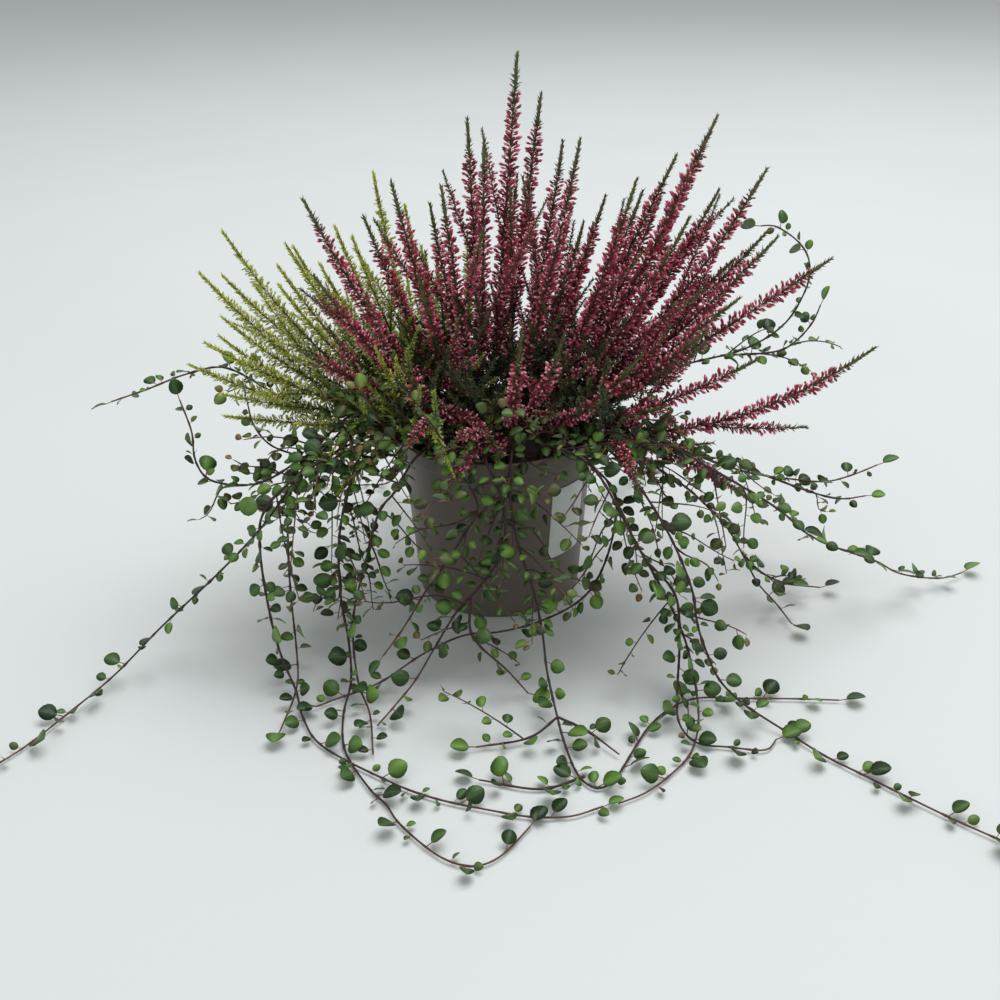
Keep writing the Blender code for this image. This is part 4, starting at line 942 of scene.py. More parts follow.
def speckled_finish(name, dark, light, speck, share, rough_range, bump, body="Dents", **grain_values):
    """A dull surface between two tones with specks strewn over it."""
    mat, tree, shader = new_finish(name)
    grain = place_group(tree, surface_grain(), **grain_values)
    base = mix_colours(tree, grain[body], dark, light)
    base = mix_colours(tree, scaled(tree, grain["Specks"], share), base, speck)
    dress(tree, shader, base, grain["Dents"], rough_range, grain["Height"], bump)
    return mat


def soil_finish():
    """Moist peat with paler fibres and grains."""
    return speckled_finish("potting_soil", paint(38, 32, 26), paint(78, 66, 52), paint(120, 100, 75), 0.4,
                           (0.8, 1.0), (0.8, 0.001), "Height", grain_scale=700.0, dent_scale=120.0,
                           speck_scale=420.0, speck_level=0.62)


def label_finish():
    """Plain white film with faint creases."""
    return speckled_finish("label_film", paint(206, 208, 204), paint(232, 233, 229), paint(170, 165, 155),
                           0.3, (0.28, 0.5), (0.35, 0.0005), grain_scale=500.0, dent_scale=70.0,
                           dent_share=0.8, speck_scale=600.0, speck_level=0.72)


def floor_finish(colour):
    """A pale painted surface with a hardly seen cloudiness."""
    mat, tree, shader = new_finish("pale_floor")
    cloud = noise_on_piece(tree, 3.0, 3.0)
    dim = tuple(channel * 0.96 for channel in colour[:3]) + (1.0,)
    dress(tree, shader, mix_colours(tree, cloud, dim, colour), cloud, (0.5, 0.65))
    return mat


def place_mesh(name, mesh):
    """A linked object that shows a mesh."""
    obj = bpy.data.objects.new(name, mesh)
    bpy.context.scene.collection.objects.link(obj)
    return obj


def mesh_object(name, points, faces=(), edges=(), smooth=True):
    """A linked mesh object at the origin."""
    mesh = bpy.data.meshes.new(name)
    mesh.from_pydata([tuple(point) for point in points], edges, faces)
    mesh.update()
    if smooth and faces:
        mesh.shade_smooth()
    return place_mesh(name, mesh)


def bmesh_object(name, bm, smooth_angle=None):
    """A linked object from a bmesh, with its faces pointing out and its sharp edges kept."""
    bmesh.ops.recalc_face_normals(bm, faces=bm.faces)
    mesh = bpy.data.meshes.new(name)
    bm.to_mesh(mesh)
    bm.free()
    mesh.shade_smooth()
    if smooth_angle is not None:
        mesh.set_sharp_from_angle(angle=smooth_angle)
    return place_mesh(name, mesh)


def set_values(mesh, **values):
    """Give the points of a mesh their own numbers or directions."""
    for name, value in values.items():
        value = np.asarray(value, np.float32)
        kind, key = {1: ("FLOAT", "value"), 3: ("FLOAT_VECTOR", "vector"),
                     4: ("QUATERNION", "value")}[1 if value.ndim == 1 else value.shape[1]]
        mesh.attributes.new(name, kind, "POINT").data.foreach_set(key, value.ravel())


def set_map(mesh, across, along):
    """Write the map of a mesh from a pair of numbers for each of its points."""
    layer = mesh.uv_layers.new(name="UVMap")
    for loop in mesh.loops:
        layer.data[loop.index].uv = (across[loop.vertex_index], along[loop.vertex_index])


def apply_modifiers(obj):
    """Turn an object's modifiers into its plain mesh."""
    depsgraph = bpy.context.evaluated_depsgraph_get()
    made = bpy.data.meshes.new_from_object(obj.evaluated_get(depsgraph))
    old = obj.data
    obj.modifiers.clear()
    obj.data = made
    made.name = obj.name
    bpy.data.meshes.remove(old)


def grow(obj, tree, **inputs):
    """Run an object through a Geometry Nodes tree and keep the result as a plain mesh."""
    modifier = obj.modifiers.new("Growth", "NODES")
    modifier.node_group = tree
    wanted = {key.replace("_", " ").title(): value for key, value in inputs.items()}
    for item in tree.interface.items_tree:
        if item.item_type == "SOCKET" and item.in_out == "INPUT" and item.name in wanted:
            modifier[item.identifier] = wanted.pop(item.name)
    if wanted:
        raise ValueError("the tree %s has no input named %s" % (tree.name, sorted(wanted)))
    apply_modifiers(obj)


def finish_piece(obj, slot, *nodes):
    """Hand a finished piece to the frame."""
    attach(obj, BODY)
    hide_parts(*nodes)


def drop_template(obj):
    """Remove a helper object, so that only finished pieces are left."""
    mesh = obj.data
    bpy.data.objects.remove(obj)
    bpy.data.meshes.remove(mesh)


def growth_tree(name, **inputs):
    """An empty Geometry Nodes tree with a geometry in and out and its named inputs, by kind or default."""
    tree = bpy.data.node_groups.new(name, "GeometryNodeTree")
    tree.interface.new_socket("Geometry", in_out="INPUT", socket_type="NodeSocketGeometry")
    for key, value in inputs.items():
        kind = value if isinstance(value, str) else "Int" if isinstance(value, int) else "Float"
        socket = tree.interface.new_socket(key.replace("_", " ").title(), in_out="INPUT",
                                           socket_type="NodeSocket" + kind)
        if value is not kind:
            socket.default_value = value
    tree.interface.new_socket("Geometry", in_out="OUTPUT", socket_type="NodeSocketGeometry")
    return tree, tree.nodes.new("NodeGroupInput").outputs, tree.nodes.new("NodeGroupOutput")


def own(tree, name, kind="FLOAT"):
    """What the points of the growing piece carry under a name."""
    return add_node(tree, "GeometryNodeInputNamedAttribute", {"data_type": kind}, {"Name": name}).outputs[0]


def draw_number(tree, low, high, seed, salt):
    """A random number for each point."""
    salted = calculate(tree, "ADD", seed, salt)
    return add_node(tree, "FunctionNodeRandomValue", {"data_type": "FLOAT"},
                    {2: low, 3: high, 8: salted}).outputs[1]


def turned_by(tree, rotation, axis, angle):
    """A rotation turned further about one of its own axes."""
    turn = add_node(tree, "FunctionNodeAxisAngleToRotation", {}, {"Axis": axis, "Angle": angle}).outputs[0]
    return add_node(tree, "FunctionNodeRotateRotation", {"rotation_space": "LOCAL"},
                    {"Rotation": rotation, "Rotate By": turn}).outputs[0]


def finished(tree, geometry, material, smooth=True):
    """Real, shaded geometry with its material."""
    real = add_node(tree, "GeometryNodeRealizeInstances", {}, {0: geometry}).outputs[0]
    shaded = add_node(tree, "GeometryNodeSetShadeSmooth", {}, {"Geometry": real, "Shade Smooth": smooth})
    return add_node(tree, "GeometryNodeSetMaterial", {},
                    {"Geometry": shaded.outputs[0], "Material": material}).outputs[0]


def shape_of(tree, obj):
    """The geometry of an object that a tree is given."""
    return add_node(tree, "GeometryNodeObjectInfo", {}, {"Object": obj}).outputs["Geometry"]


def put_together(tree, result, *branches):
    """Join branches of geometry into a tree's output and hand the tree back."""
    joined = tree.nodes.new("GeometryNodeJoinGeometry")
    for branch in branches:
        tree.links.new(branch, joined.inputs[0])
    tree.links.new(joined.outputs[0], result.inputs[0])
    return tree


def tube_along(tree, geometry, sides):
    """A closed tube along each line of the input, as thick as its points say."""
    curve = add_node(tree, "GeometryNodeMeshToCurve", {}, {"Mesh": geometry}).outputs[0]
    profile = add_node(tree, "GeometryNodeCurvePrimitiveCircle", {}, {"Resolution": sides, "Radius": 1.0})
    tube = add_node(tree, "GeometryNodeCurveToMesh", {},
                    {"Curve": curve, "Profile Curve": profile.outputs[0], "Scale": own(tree, "thick"),
                     "Fill Caps": True}).outputs[0]
    return curve, tube


def set_along(tree, curve, shape, spacing, density, size, lean, seed, salt):
    """Copies of a shape along a curve, each turned by the golden angle from the last and leaning out."""
    points = add_node(tree, "GeometryNodeCurveToPoints", {"mode": "LENGTH"},
                      {"Curve": curve, "Length": spacing}).outputs["Points"]
    idle = calculate(tree, "GREATER_THAN", draw_number(tree, 0.0, 1.0, seed, salt), density)
    points = add_node(tree, "GeometryNodeDeleteGeometry", {"domain": "POINT"},
                      {"Geometry": points, "Selection": idle}).outputs[0]
    index = add_node(tree, "GeometryNodeInputIndex").outputs[0]
    around = calculate(tree, "MULTIPLY_ADD", index, GOLDEN_TURN, draw_number(tree, -0.5, 0.5, seed, salt + 1))
    leaning = calculate(tree, "MULTIPLY", lean, draw_number(tree, 0.65, 1.45, seed, salt + 2))
    turn = add_node(tree, "FunctionNodeAlignRotationToVector", {"axis": "Z"},
                    {"Vector": own(tree, "ahead", "FLOAT_VECTOR")}).outputs[0]
    turn = turned_by(tree, turned_by(tree, turn, (0.0, 0.0, 1.0), around), (1.0, 0.0, 0.0), leaning)
    scale = calculate(tree, "MULTIPLY", size, draw_number(tree, 0.6, 1.1, seed, salt + 3))
    copies = add_node(tree, "GeometryNodeInstanceOnPoints", {},
                      {"Points": points, "Instance": shape_of(tree, shape), "Rotation": turn,
                       "Scale": scale}).outputs[0]
    return add_node(tree, "GeometryNodeStoreNamedAttribute", {"data_type": "FLOAT", "domain": "INSTANCE"},
                    {"Geometry": copies, "Name": "tone",
                     "Value": draw_number(tree, 0.0, 1.0, seed, salt + 4)}).outputs[0]


@functools.lru_cache(maxsize=1)
def heather_tree():
    """Stems with buds and small leaves along them."""
    tree, given, result = growth_tree(
        "Heather Growth", bud="Object", needle="Object", bud_spacing=0.0006, needle_spacing=0.0004,
        bud_lean=1.0, seed=0, bud_finish="Material", needle_finish="Material", stem_finish="Material")
    curve, tube = tube_along(tree, given["Geometry"], STEM_SIDES)
    seed = given["Seed"]
    buds = set_along(tree, curve, given["Bud"], given["Bud Spacing"], own(tree, "bloom"), own(tree, "room"),
                     given["Bud Lean"], seed, BUD_SALT)
    needles = set_along(tree, curve, given["Needle"], given["Needle Spacing"], own(tree, "leafy"),
                        own(tree, "needle"), own(tree, "lean"), seed, NEEDLE_SALT)
    return put_together(tree, result, finished(tree, tube, given["Stem Finish"]),
                        finished(tree, buds, given["Bud Finish"]),
                        finished(tree, needles, given["Needle Finish"], False))


@functools.lru_cache(maxsize=1)
def vine_tree():
    """Stems with a leaf on each point that has a size."""
    tree, given, result = growth_tree("Vine Growth", leaf="Object", leaf_finish="Material",
                                      stem_finish="Material")
    tube = tube_along(tree, given["Geometry"], VINE_SIDES)[1]
    leafy = calculate(tree, "GREATER_THAN", own(tree, "leaf"), 0.0)
    leaves = add_node(tree, "GeometryNodeInstanceOnPoints", {},
                      {"Points": given["Geometry"], "Selection": leafy,
                       "Instance": shape_of(tree, given["Leaf"]),
                       "Rotation": own(tree, "turn", "QUATERNION"),
                       "Scale": own(tree, "size", "FLOAT_VECTOR")}).outputs[0]
    return put_together(tree, result, finished(tree, tube, given["Stem Finish"]),
                        finished(tree, leaves, given["Leaf Finish"]))


@functools.lru_cache(maxsize=1)
def crumb_tree():
    """Crumbs strewn over the faces that are marked for them."""
    tree, given, result = growth_tree("Soil Crumbs", crumb="Object", crumbs_per_area=200000.0,
                                      crumb_size=0.0014, seed=0, soil_finish="Material")
    seed = given["Seed"]
    spread = add_node(tree, "GeometryNodeDistributePointsOnFaces", {"distribute_method": "RANDOM"},
                      {"Mesh": given["Geometry"], "Selection": own(tree, "upper", "BOOLEAN"),
                       "Density": given["Crumbs Per Area"], "Seed": seed}).outputs[0]
    turn, stretch = [add_node(tree, "FunctionNodeRandomValue", {"data_type": "FLOAT_VECTOR"},
                              {0: low, 1: high, 8: seed}).outputs[0]
                     for low, high in (((0.0,) * 3, (math.tau,) * 3), CRUMB_STRETCH)]
    turn = add_node(tree, "FunctionNodeEulerToRotation", {}, {0: turn}).outputs[0]
    size = add_node(tree, "ShaderNodeVectorMath", {"operation": "SCALE"},
                    {0: stretch, "Scale": given["Crumb Size"]}).outputs[0]
    crumbs = add_node(tree, "GeometryNodeInstanceOnPoints", {},
                      {"Points": spread, "Instance": shape_of(tree, given["Crumb"]), "Rotation": turn,
                       "Scale": size}).outputs[0]
    joined = tree.nodes.new("GeometryNodeJoinGeometry")
    for branch in (crumbs, given["Geometry"]):
        tree.links.new(branch, joined.inputs[0])
    tree.links.new(finished(tree, joined.outputs[0], given["Soil Finish"]), result.inputs[0])
    return tree


def turned_skin(profile, sides):
    """A closed skin: a profile of (radius, z) points, turned round the Z axis."""
    bm = bmesh.new()
    verts = [bm.verts.new((radius, 0.0, z)) for radius, z in profile]
    edges = [bm.edges.new(pair) for pair in zip(verts, verts[1:])]
    bmesh.ops.spin(bm, geom=verts + edges, cent=(0, 0, 0), axis=(0, 0, 1), angle=math.tau, steps=sides,
                   use_merge=True, use_duplicate=False)
    bmesh.ops.remove_doubles(bm, verts=bm.verts, dist=1e-6)
    return bm


def bridge_rows(bm, rows, closed=False):
    """Faces between rows of points, each row open or closed to a ring."""
    count = len(rows[0])
    for low, high in zip(rows, rows[1:]):
        for k in range(count if closed else count - 1):
            after = (k + 1) % count
            bm.faces.new((low[k], low[after], high[after], high[k]))


def arc(centre, radius, start, end, steps):
    """Points of an arc in a profile, from one angle to another in degrees."""
    points = []
    for k in range(steps + 1):
        angle = math.radians(start + (end - start) * k / steps)
        points.append((centre[0] + radius * math.cos(angle), centre[1] + radius * math.sin(angle)))
    return points


def bud_shape(rings):
    """A closed bud with its stalk, one unit long along +Z, with rings of (height, radius)."""
    points = [(0.0, 0.0, 0.08)]
    faces = []
    for height, radius in rings:
        for k in range(BUD_SIDES):
            angle = math.tau * k / BUD_SIDES
            points.append((radius * math.cos(angle), radius * math.sin(angle), height))
    points.append((0.0, 0.0, 1.0))
    last = len(points) - 1
    for k in range(BUD_SIDES):
        after = (k + 1) % BUD_SIDES
        faces.append((0, 1 + after, 1 + k))
        faces.append((1 + k, 1 + after, 1 + BUD_SIDES + after, 1 + BUD_SIDES + k))
        faces.append((1 + BUD_SIDES + k, 1 + BUD_SIDES + after, last))
    obj = mesh_object("bud_shape", points, faces)
    set_map(obj.data, [point[0] for point in points], [point[2] for point in points])
    return obj


def needle_shape():
    """A three-sided scale leaf, one unit long along +Z."""
    width = 0.2
    points = [(0.0, -width * 0.7, 0.10), (width, width * 0.4, 0.16), (-width, width * 0.4, 0.16),
              (0.0, 0.0, 1.0)]
    return mesh_object("needle_shape", points, [(0, 2, 1), (0, 1, 3), (1, 2, 3), (2, 0, 3)], smooth=False)


def leaf_shape():
    """A round leaf on its stalk, one unit long along +Z, folded a little along its rib and closed beneath."""
    points = []
    across = []
    faces = []
    blade = 1.0 - LEAF_STALK

    def put(x, y, z, map_x):
        points.append((x, y, z))
        across.append(map_x)
        return len(points) - 1

    root = put(0.0, 0.0, LEAF_STALK, 0.5)
    tip = put(0.0, -LEAF_DROP, 1.0, 0.5)
    rows = []
    for along, width in LEAF_OUTLINE:
        z = LEAF_STALK + blade * along
        sag = LEAF_CURL * math.sin(math.pi * along) - LEAF_DROP * along
        half = width * LEAF_HALF_WIDTH
        left = put(-half, sag + LEAF_FOLD * width, z, 0.0)
        upper = put(0.0, sag, z, 0.5)
        lower = put(0.0, sag - LEAF_DEPTH, z, 2.5)
        right = put(half, sag + LEAF_FOLD * width, z, 1.0)
        rows.append((left, upper, right, lower))
    first, final = rows[0], rows[-1]
    faces += [(root, first[0], first[1]), (root, first[1], first[2])]
    faces += [(root, first[3], first[0]), (root, first[2], first[3])]
    for a, b in zip(rows, rows[1:]):
        faces += [(a[0], b[0], b[1], a[1]), (a[1], b[1], b[2], a[2])]
        faces += [(a[3], b[3], b[0], a[0]), (a[2], b[2], b[3], a[3])]
    faces += [(final[0], tip, final[1]), (final[1], tip, final[2])]
    faces += [(final[3], tip, final[0]), (final[2], tip, final[3])]
    stalk = []
    for z, offset in ((0.0, 0.0), (LEAF_STALK * 1.25, -LEAF_DEPTH / 2)):
        for k in range(3):
            angle = math.tau * k / 3
            x, y = LEAF_STALK_RADIUS * math.cos(angle), LEAF_STALK_RADIUS * math.sin(angle)
            stalk.append(put(x, offset + y, z, 0.5))
    for k in range(3):
        after = (k + 1) % 3
        faces.append((stalk[k], stalk[after], stalk[3 + after], stalk[3 + k]))
    faces += [(stalk[2], stalk[1], stalk[0]), (stalk[3], stalk[4], stalk[5])]
    obj = mesh_object("leaf_shape", points, faces)
    bm = bmesh.new()
    bm.from_mesh(obj.data)
    bmesh.ops.recalc_face_normals(bm, faces=bm.faces)
    bm.to_mesh(obj.data)
    bm.free()
    set_map(obj.data, across, [point[2] for point in points])
    obj.data.shade_smooth()
    return obj


def crumb_shape():
    """A lump of peat, one unit across."""
    bm = bmesh.new()
    bmesh.ops.create_icosphere(bm, subdivisions=1, radius=0.5)
    draw = random.Random(3)
    for v in bm.verts:
        v.co *= draw.uniform(0.75, 1.15)
    return bmesh_object("crumb_shape", bm)


class Strand:
    """One line of growth: its points, the way they lead, and what grows at each of them."""

    def __init__(self, points, **values):
        ahead = np.gradient(points, axis=0)
        self.points = points
        self.values = {"ahead": ahead / np.linalg.norm(ahead, axis=1)[:, None]}
        for name, value in values.items():
            self.values[name] = np.broadcast_to(np.asarray(value, float), (len(points),))


def strands_object(name, strands, leaves=()):
    """A mesh that carries growth into its tree: edges along the strands, and a loose point for each leaf."""
    edges = []
    start = 0
    for strand in strands:
        count = len(strand.points)
        edges += [(start + k, start + k + 1) for k in range(count - 1)]
        start += count
    points = [strand.points for strand in strands]
    values = {key: np.concatenate([strand.values[key] for strand in strands]) for key in strands[0].values}
    if leaves:
        points.append(np.array([leaf["base"] for leaf in leaves]))
        for key, known in values.items():
            values[key] = np.concatenate((known, np.zeros((len(leaves),) + known.shape[1:])))
        for key, blank in LEAF_BLANKS.items():
            values[key] = np.array([blank] * start + [leaf[key] for leaf in leaves])
    obj = mesh_object(name, np.concatenate(points), edges=edges)
    set_values(obj.data, **values)
    return obj


def shoot_strand(shoot):
    """A flowering shoot: leafy low down, in bud above and closed by a green growing tip."""
    t = np.linspace(0, 1, SHOOT_POINTS)
    points = shoot.points(t)
    along = t * shoot.length()
    left = shoot.length() - along
    green = GREEN_TIP[shoot.kind]
    full_from = min(FULL_FROM, BLOOM_FROM * shoot.length())
    bloom = np.clip((along - full_from / 4) / (full_from * 3 / 4), 0, 1)
    bloom = bloom * np.clip((left - green) / SPARSE_REACH, 0, 1) ** SPARSE_POWER
    tip = np.clip(1 - (left - green) / SPARSE_REACH, 0, 1)
    full = FLORET_RADIUS[shoot.kind]
    widened = np.minimum(ROOM_LEAST + np.maximum(left - green, 0.0) * TIP_WIDENS, full)
    room = np.maximum(shoot.radius(t), np.where(along > full_from, widened, ROOM_LEAST))
    stem = STEM_RADIUS + (STEM_TIP_RADIUS - STEM_RADIUS) * t
    end = left / green
    return Strand(
        points, share=t, room=room * BUD_STAND, bloom=bloom,
        leafy=np.where(along < BARE_STEM / 2, 0.0, SPIKE_LEAFY + (1 - SPIKE_LEAFY) * tip),
        needle=np.where(left < green, TIP_NEEDLE * (0.8 + 0.2 * end), NEEDLE_LENGTH),
        lean=np.where(left < green, TIP_LEAN * (0.6 + 0.4 * end), NEEDLE_LEAN),
        thick=np.where(left < green, STEM_TIP_RADIUS + (TIP_STEM - STEM_TIP_RADIUS) * end, stem))


def foot_strand(fork):
    """The woody foot of a spray, from inside the soil to the fork of its shoots."""
    low = fork - np.array((0.0, 0.0, STUB_RISE + HOLE_DEPTH / 2))
    points = low + (fork + np.array((0.0, 0.0, STUB_RADIUS)) - low) * np.linspace(0, 1, 5)[:, None]
    return Strand(points, share=0.0, room=0.0, bloom=0.0, leafy=0.0, needle=0.0, lean=0.0,
                  thick=np.array((1.0, 1.0, 0.9, 0.85, 0.6)) * STUB_RADIUS)


def twig_strand(draw, shoot, t, aim, length, rise, bloom):
    """A side twig: it leaves a shoot to one side and turns upwards."""
    start = shoot.points([t])[0]
    end = start + aim * length
    end[2] += length * rise
    bend = start + aim * length * 0.5
    s = np.linspace(0, 1, TWIG_POINTS)[:, None]
    points = (1 - s) ** 2 * start + 2 * s * (1 - s) * bend + s * s * end
    flat = np.linalg.norm(points[:, :2], axis=1)
    over_rim = (flat > POT_RIM_RADIUS - RIM_INSIDE) & (flat < POT_RIM_RADIUS + TWIG_ROOM)
    if (over_rim & (points[:, 2] < POT_HEIGHT + 2 * POT_GAP)).any():
        return None
    s = s[:, 0]
    left = length * (1 - s)
    tip = np.clip(1 - (left - TWIG_TIP) / TWIG_TIP_FADE, 0, 1)
    size = draw.uniform(*TWIG_SIZES)
    return Strand(
        points, share=0.35 + 0.65 * s if bloom else 0.15 + 0.5 * s,
        room=TWIG_ROOM * BUD_STAND * np.clip(0.4 + 1.6 * np.minimum(s, 1 - s), 0, 1),
        bloom=bloom * np.clip((s - 0.15) * 5, 0, 1) * (1 - tip), leafy=TWIG_LEAFY + (1 - TWIG_LEAFY) * tip,
        needle=size * (NEEDLE_LENGTH + (TIP_NEEDLE * 0.7 - NEEDLE_LENGTH) * tip),
        lean=NEEDLE_LEAN + (TIP_LEAN - NEEDLE_LEAN) * tip,
        thick=STEM_RADIUS * (0.6 - 0.35 * s))


def spray_strands(spray, fork, shoots, draw, settings):
    """Everything that grows from one foot: shoots, side spikes and leafy twigs."""
    mine = [shoot for shoot in shoots if shoot.spray == spray]
    strands = [foot_strand(fork)] + [shoot_strand(shoot) for shoot in mine]
    for shoot in mine:
        length = shoot.length()
        for _ in range(settings.side_spikes):
            t = draw.uniform(*SPIKE_FROM)
            ahead = shoot.tangents([t])[0]
            aside = np.array([draw.gauss(0, 1) for _ in range(3)])
            aside = aside - ahead * aside.dot(ahead)
            aim = ahead + aside / np.linalg.norm(aside) * draw.uniform(*SPIKE_SPREAD)
            reach = length * (1 - t) * draw.uniform(*SPIKE_REACH)
            strands.append(twig_strand(draw, shoot, t, aim / np.linalg.norm(aim), reach, SPIKE_RISE, 1.0))
    for _ in range(settings.nodding_spikes * int(fork[1] < NOD_FRONT)):
        shoot = draw.choice(mine)
        turn = draw.uniform(*NOD_TURN)
        aim = np.array((math.cos(turn), math.sin(turn), draw.uniform(*NOD_SLOPE)))
        share = draw.uniform(*NOD_START) / shoot.length()
        strands.append(twig_strand(draw, shoot, share, aim / np.linalg.norm(aim),
                                   draw.uniform(*NOD_LENGTHS), NOD_RISE, 1.0))
    for _ in range(settings.leafy_twigs):
        shoot = draw.choice(mine)
        t = draw.uniform(0.004, LEAFY_FROM * 2.2) / shoot.length()
        out = fork[:2] / np.linalg.norm(fork[:2]) * TWIG_OUTWARD
        for _ in range(TWIG_TRIES):
            turn = draw.uniform(0, math.tau)
            aim = np.array((math.cos(turn) + out[0], math.sin(turn) + out[1], draw.uniform(*TWIG_SLOPE)))
            twig = twig_strand(draw, shoot, t, aim / np.linalg.norm(aim), draw.uniform(*TWIG_LENGTHS),
                               TWIG_RISE, settings.twig_bloom)
            if twig is not None:
                strands.append(twig)
                break
    return [strand for strand in strands if strand is not None]


def turned_leaf(base, aim, upper, size, tone, young):
    """A leaf's place, turn and size, and its tone and age."""
    wide = np.cross(upper, aim)
    wide = wide / np.linalg.norm(wide)
    turn = Matrix(np.column_stack((wide, np.cross(aim, wide), aim)).tolist()).to_quaternion()
    return {"base": base, "turn": tuple(turn), "size": size, "tone": tone, "young": young, "leaf": 1.0}


def hides_label(point):
    """Whether a point lies close in front of the label."""
    turn = math.atan2(point[1], point[0]) - LABEL_TURN
    near = LABEL_LOW < point[2] < POT_HEIGHT and math.hypot(point[0], point[1]) < LABEL_FREE_REACH
    return near and abs(turn) < LABEL_FREE


def leaf_is_clear(base, aim, length, others):
    """Whether a leaf stays off the pot and the ground, and is not laid on another leaf."""
    for share in (0.4, 0.7, 1.0):
        x, y, z = base + aim * length * share
        flat = math.hypot(x, y)
        if z < LEAF_GROUND or y > CAD_BOX[1][1]:
            return False
        skin = max(wall_radius(z), POT_RIM_RADIUS * (z > RIM_ROOM_FROM))
        if z < POT_HEIGHT + LEAF_POT_GAP and flat < skin + LEAF_POT_GAP:
            return False
    middle = base + aim * length * LEAF_MIDDLE
    if hides_label(middle):
        return False
    return not others or min(float(np.linalg.norm(middle - other)) for other in others) > LEAF_APART


def lay_leaf(leaves, middles, draw, base, along, out, size, young):
    """Try a few ways for a leaf to grow from a stem and keep the first that is clear."""
    for _ in range(LEAF_TRIES):
        spread = math.radians(draw.uniform(*LEAF_SPREAD))
        around = draw.gauss(0, LEAF_SWING)
        swung = out * math.cos(around) + np.cross(along, out) * math.sin(around)
        aim = along * math.cos(spread) + swung * math.sin(spread)
        if base[2] < LOW_STEM:
            aim[2] = max(aim[2], LOW_LEAF_RISE)
        aim = aim / np.linalg.norm(aim)
        if leaf_is_clear(base, aim, LEAF_LENGTH * size, middles):
            sun = np.array((draw.gauss(0, LEAF_TUMBLE), draw.gauss(0, LEAF_TUMBLE) - LEAF_FACE, 1.0))
            upper = sun - aim * sun.dot(aim)
            if np.linalg.norm(upper) < LEAF_EDGEWISE:
                continue
            upper = upper / np.linalg.norm(upper)
            width = draw.uniform(*LEAF_BROADNESS)
            length = LEAF_LENGTH * size
            scale = (length * width, length, length)
            leaves.append(turned_leaf(base, aim, upper, scale, draw.random(), young))
            middles.append(base + aim * length * LEAF_MIDDLE)
            return


def part_leaf(cad_draw, stem_frame, order, at_tip, height):
    """How the part turns and sizes the next leaf of a stem: aim, upper side and share of full size."""
    ahead, side, over = stem_frame
    size = cad_draw.uniform(*LEAF_SIZES)
    spread = math.radians(cad_draw.uniform(*LEAF_SPREAD))
    roll = math.radians(cad_draw.uniform(-LEAF_ROLL, LEAF_ROLL))
    out = side * (SIDE_SHARE if order % 2 else -SIDE_SHARE) + over * OVER_SHARE
    aim = ahead if at_tip else ahead * math.cos(spread) + out * math.sin(spread)
    aim = np.array((aim[0], aim[1], max(aim[2], LOW_LEAF_RISE) if height < LOW_STEM else aim[2]))
    aim = aim / np.linalg.norm(aim)
    along = -side if at_tip else ahead
    level = along - aim * aim.dot(along)
    level = level / np.linalg.norm(level)
    upper = np.cross(aim, level)
    wide = level * math.cos(roll) + upper * math.sin(roll)
    upper = np.cross(aim, wide)
    return aim, upper if upper[2] > 0 else -upper, size


def stem_strand(points, joints, thick, tip, share_from=0.0):
    """A vine's stem, a little swollen where its leaves grow."""
    t = np.linspace(0, 1, len(points))
    radius = thick + (tip - thick) * t
    for joint in joints:
        away = np.linalg.norm(points - joint, axis=1)
        radius = radius * (1 + JOINT_SWELL * np.exp(-(away / JOINT_REACH) ** 2))
    return Strand(points, share=share_from + (1 - share_from) * t, thick=radius)


def sprig(leaves, middles, draw, start, aim, length, droop, size):
    """A short leafy side stem that droops a little, or nothing where there is no room for one."""
    s = np.linspace(0, 1, SPRIG_POINTS)[:, None]
    aside = np.cross(aim, (0.0, 0.0, 1.0)) * draw.uniform(-SPRIG_BEND, SPRIG_BEND) * length
    waver = np.cross(aim, aside) * draw.uniform(-1, 1)
    points = start + aim * length * s + (np.array((0.0, 0.0, -length * droop)) + aside) * s * s
    points = points + waver * np.sin(math.tau * s) / 2
    flat = np.linalg.norm(points[:, :2], axis=1)
    blocked = (points[:, 2] < POT_HEIGHT + POT_GAP) & (flat < POT_RIM_RADIUS + 2 * POT_GAP)
    if blocked.any() or hides_label(points[-1]) or (points[:, 2] < 2 * GROUND_GAP + VINE_TIP_RADIUS).any():
        return None
    frames = up_frames(points)
    run = run_of(points)
    joints = []
    place = draw.uniform(*SPRIG_FIRST_LEAF) * SPRIG_SPAN
    side = draw.choice((-1, 1))
    while place < run[-1]:
        ahead, across, _ = frames[min(int(np.searchsorted(run, place)), len(frames) - 1)]
        base = at_run(points, [place])[0]
        lay_leaf(leaves, middles, draw, base, ahead, across * side, size * draw.uniform(*SPRIG_LEAF_RANGE),
                 draw.random() * SPRIG_YOUTH * place / run[-1])
        joints.append(base)
        side = -side
        place += SPRIG_SPAN * draw.uniform(*SPRIG_LEAF_STEPS)
    lay_leaf(leaves, middles, draw, points[-1], frames[-1][0], frames[-1][1], size * SPRIG_END_LEAF,
             draw.uniform(*SPRIG_END_YOUTH))
    return stem_strand(points, joints, SPRIG_RADIUS, SPRIG_RADIUS * 0.6, 0.3)


def part_leaves(leaves, middles, draw, cad_draw, rings, joints):
    """The leaves that a stem of the node has, where they are clear of the others."""
    frames = up_frames(rings)
    last = len(rings) - 1
    for order, joint in enumerate(joints + [last]):
        aim, upper, size = part_leaf(cad_draw, frames[joint], order, joint == last, rings[joint][2])
        length = LEAF_LENGTH * size
        if leaf_is_clear(rings[joint], aim, length, middles):
            width = LEAF_NARROW * LEAF_WIDTH * size / LEAF_FULL_WIDTH
            leaves.append(turned_leaf(rings[joint], aim, upper, (width, length, length), draw.random(), 0.0))
            middles.append(rings[joint] + aim * length * LEAF_MIDDLE)


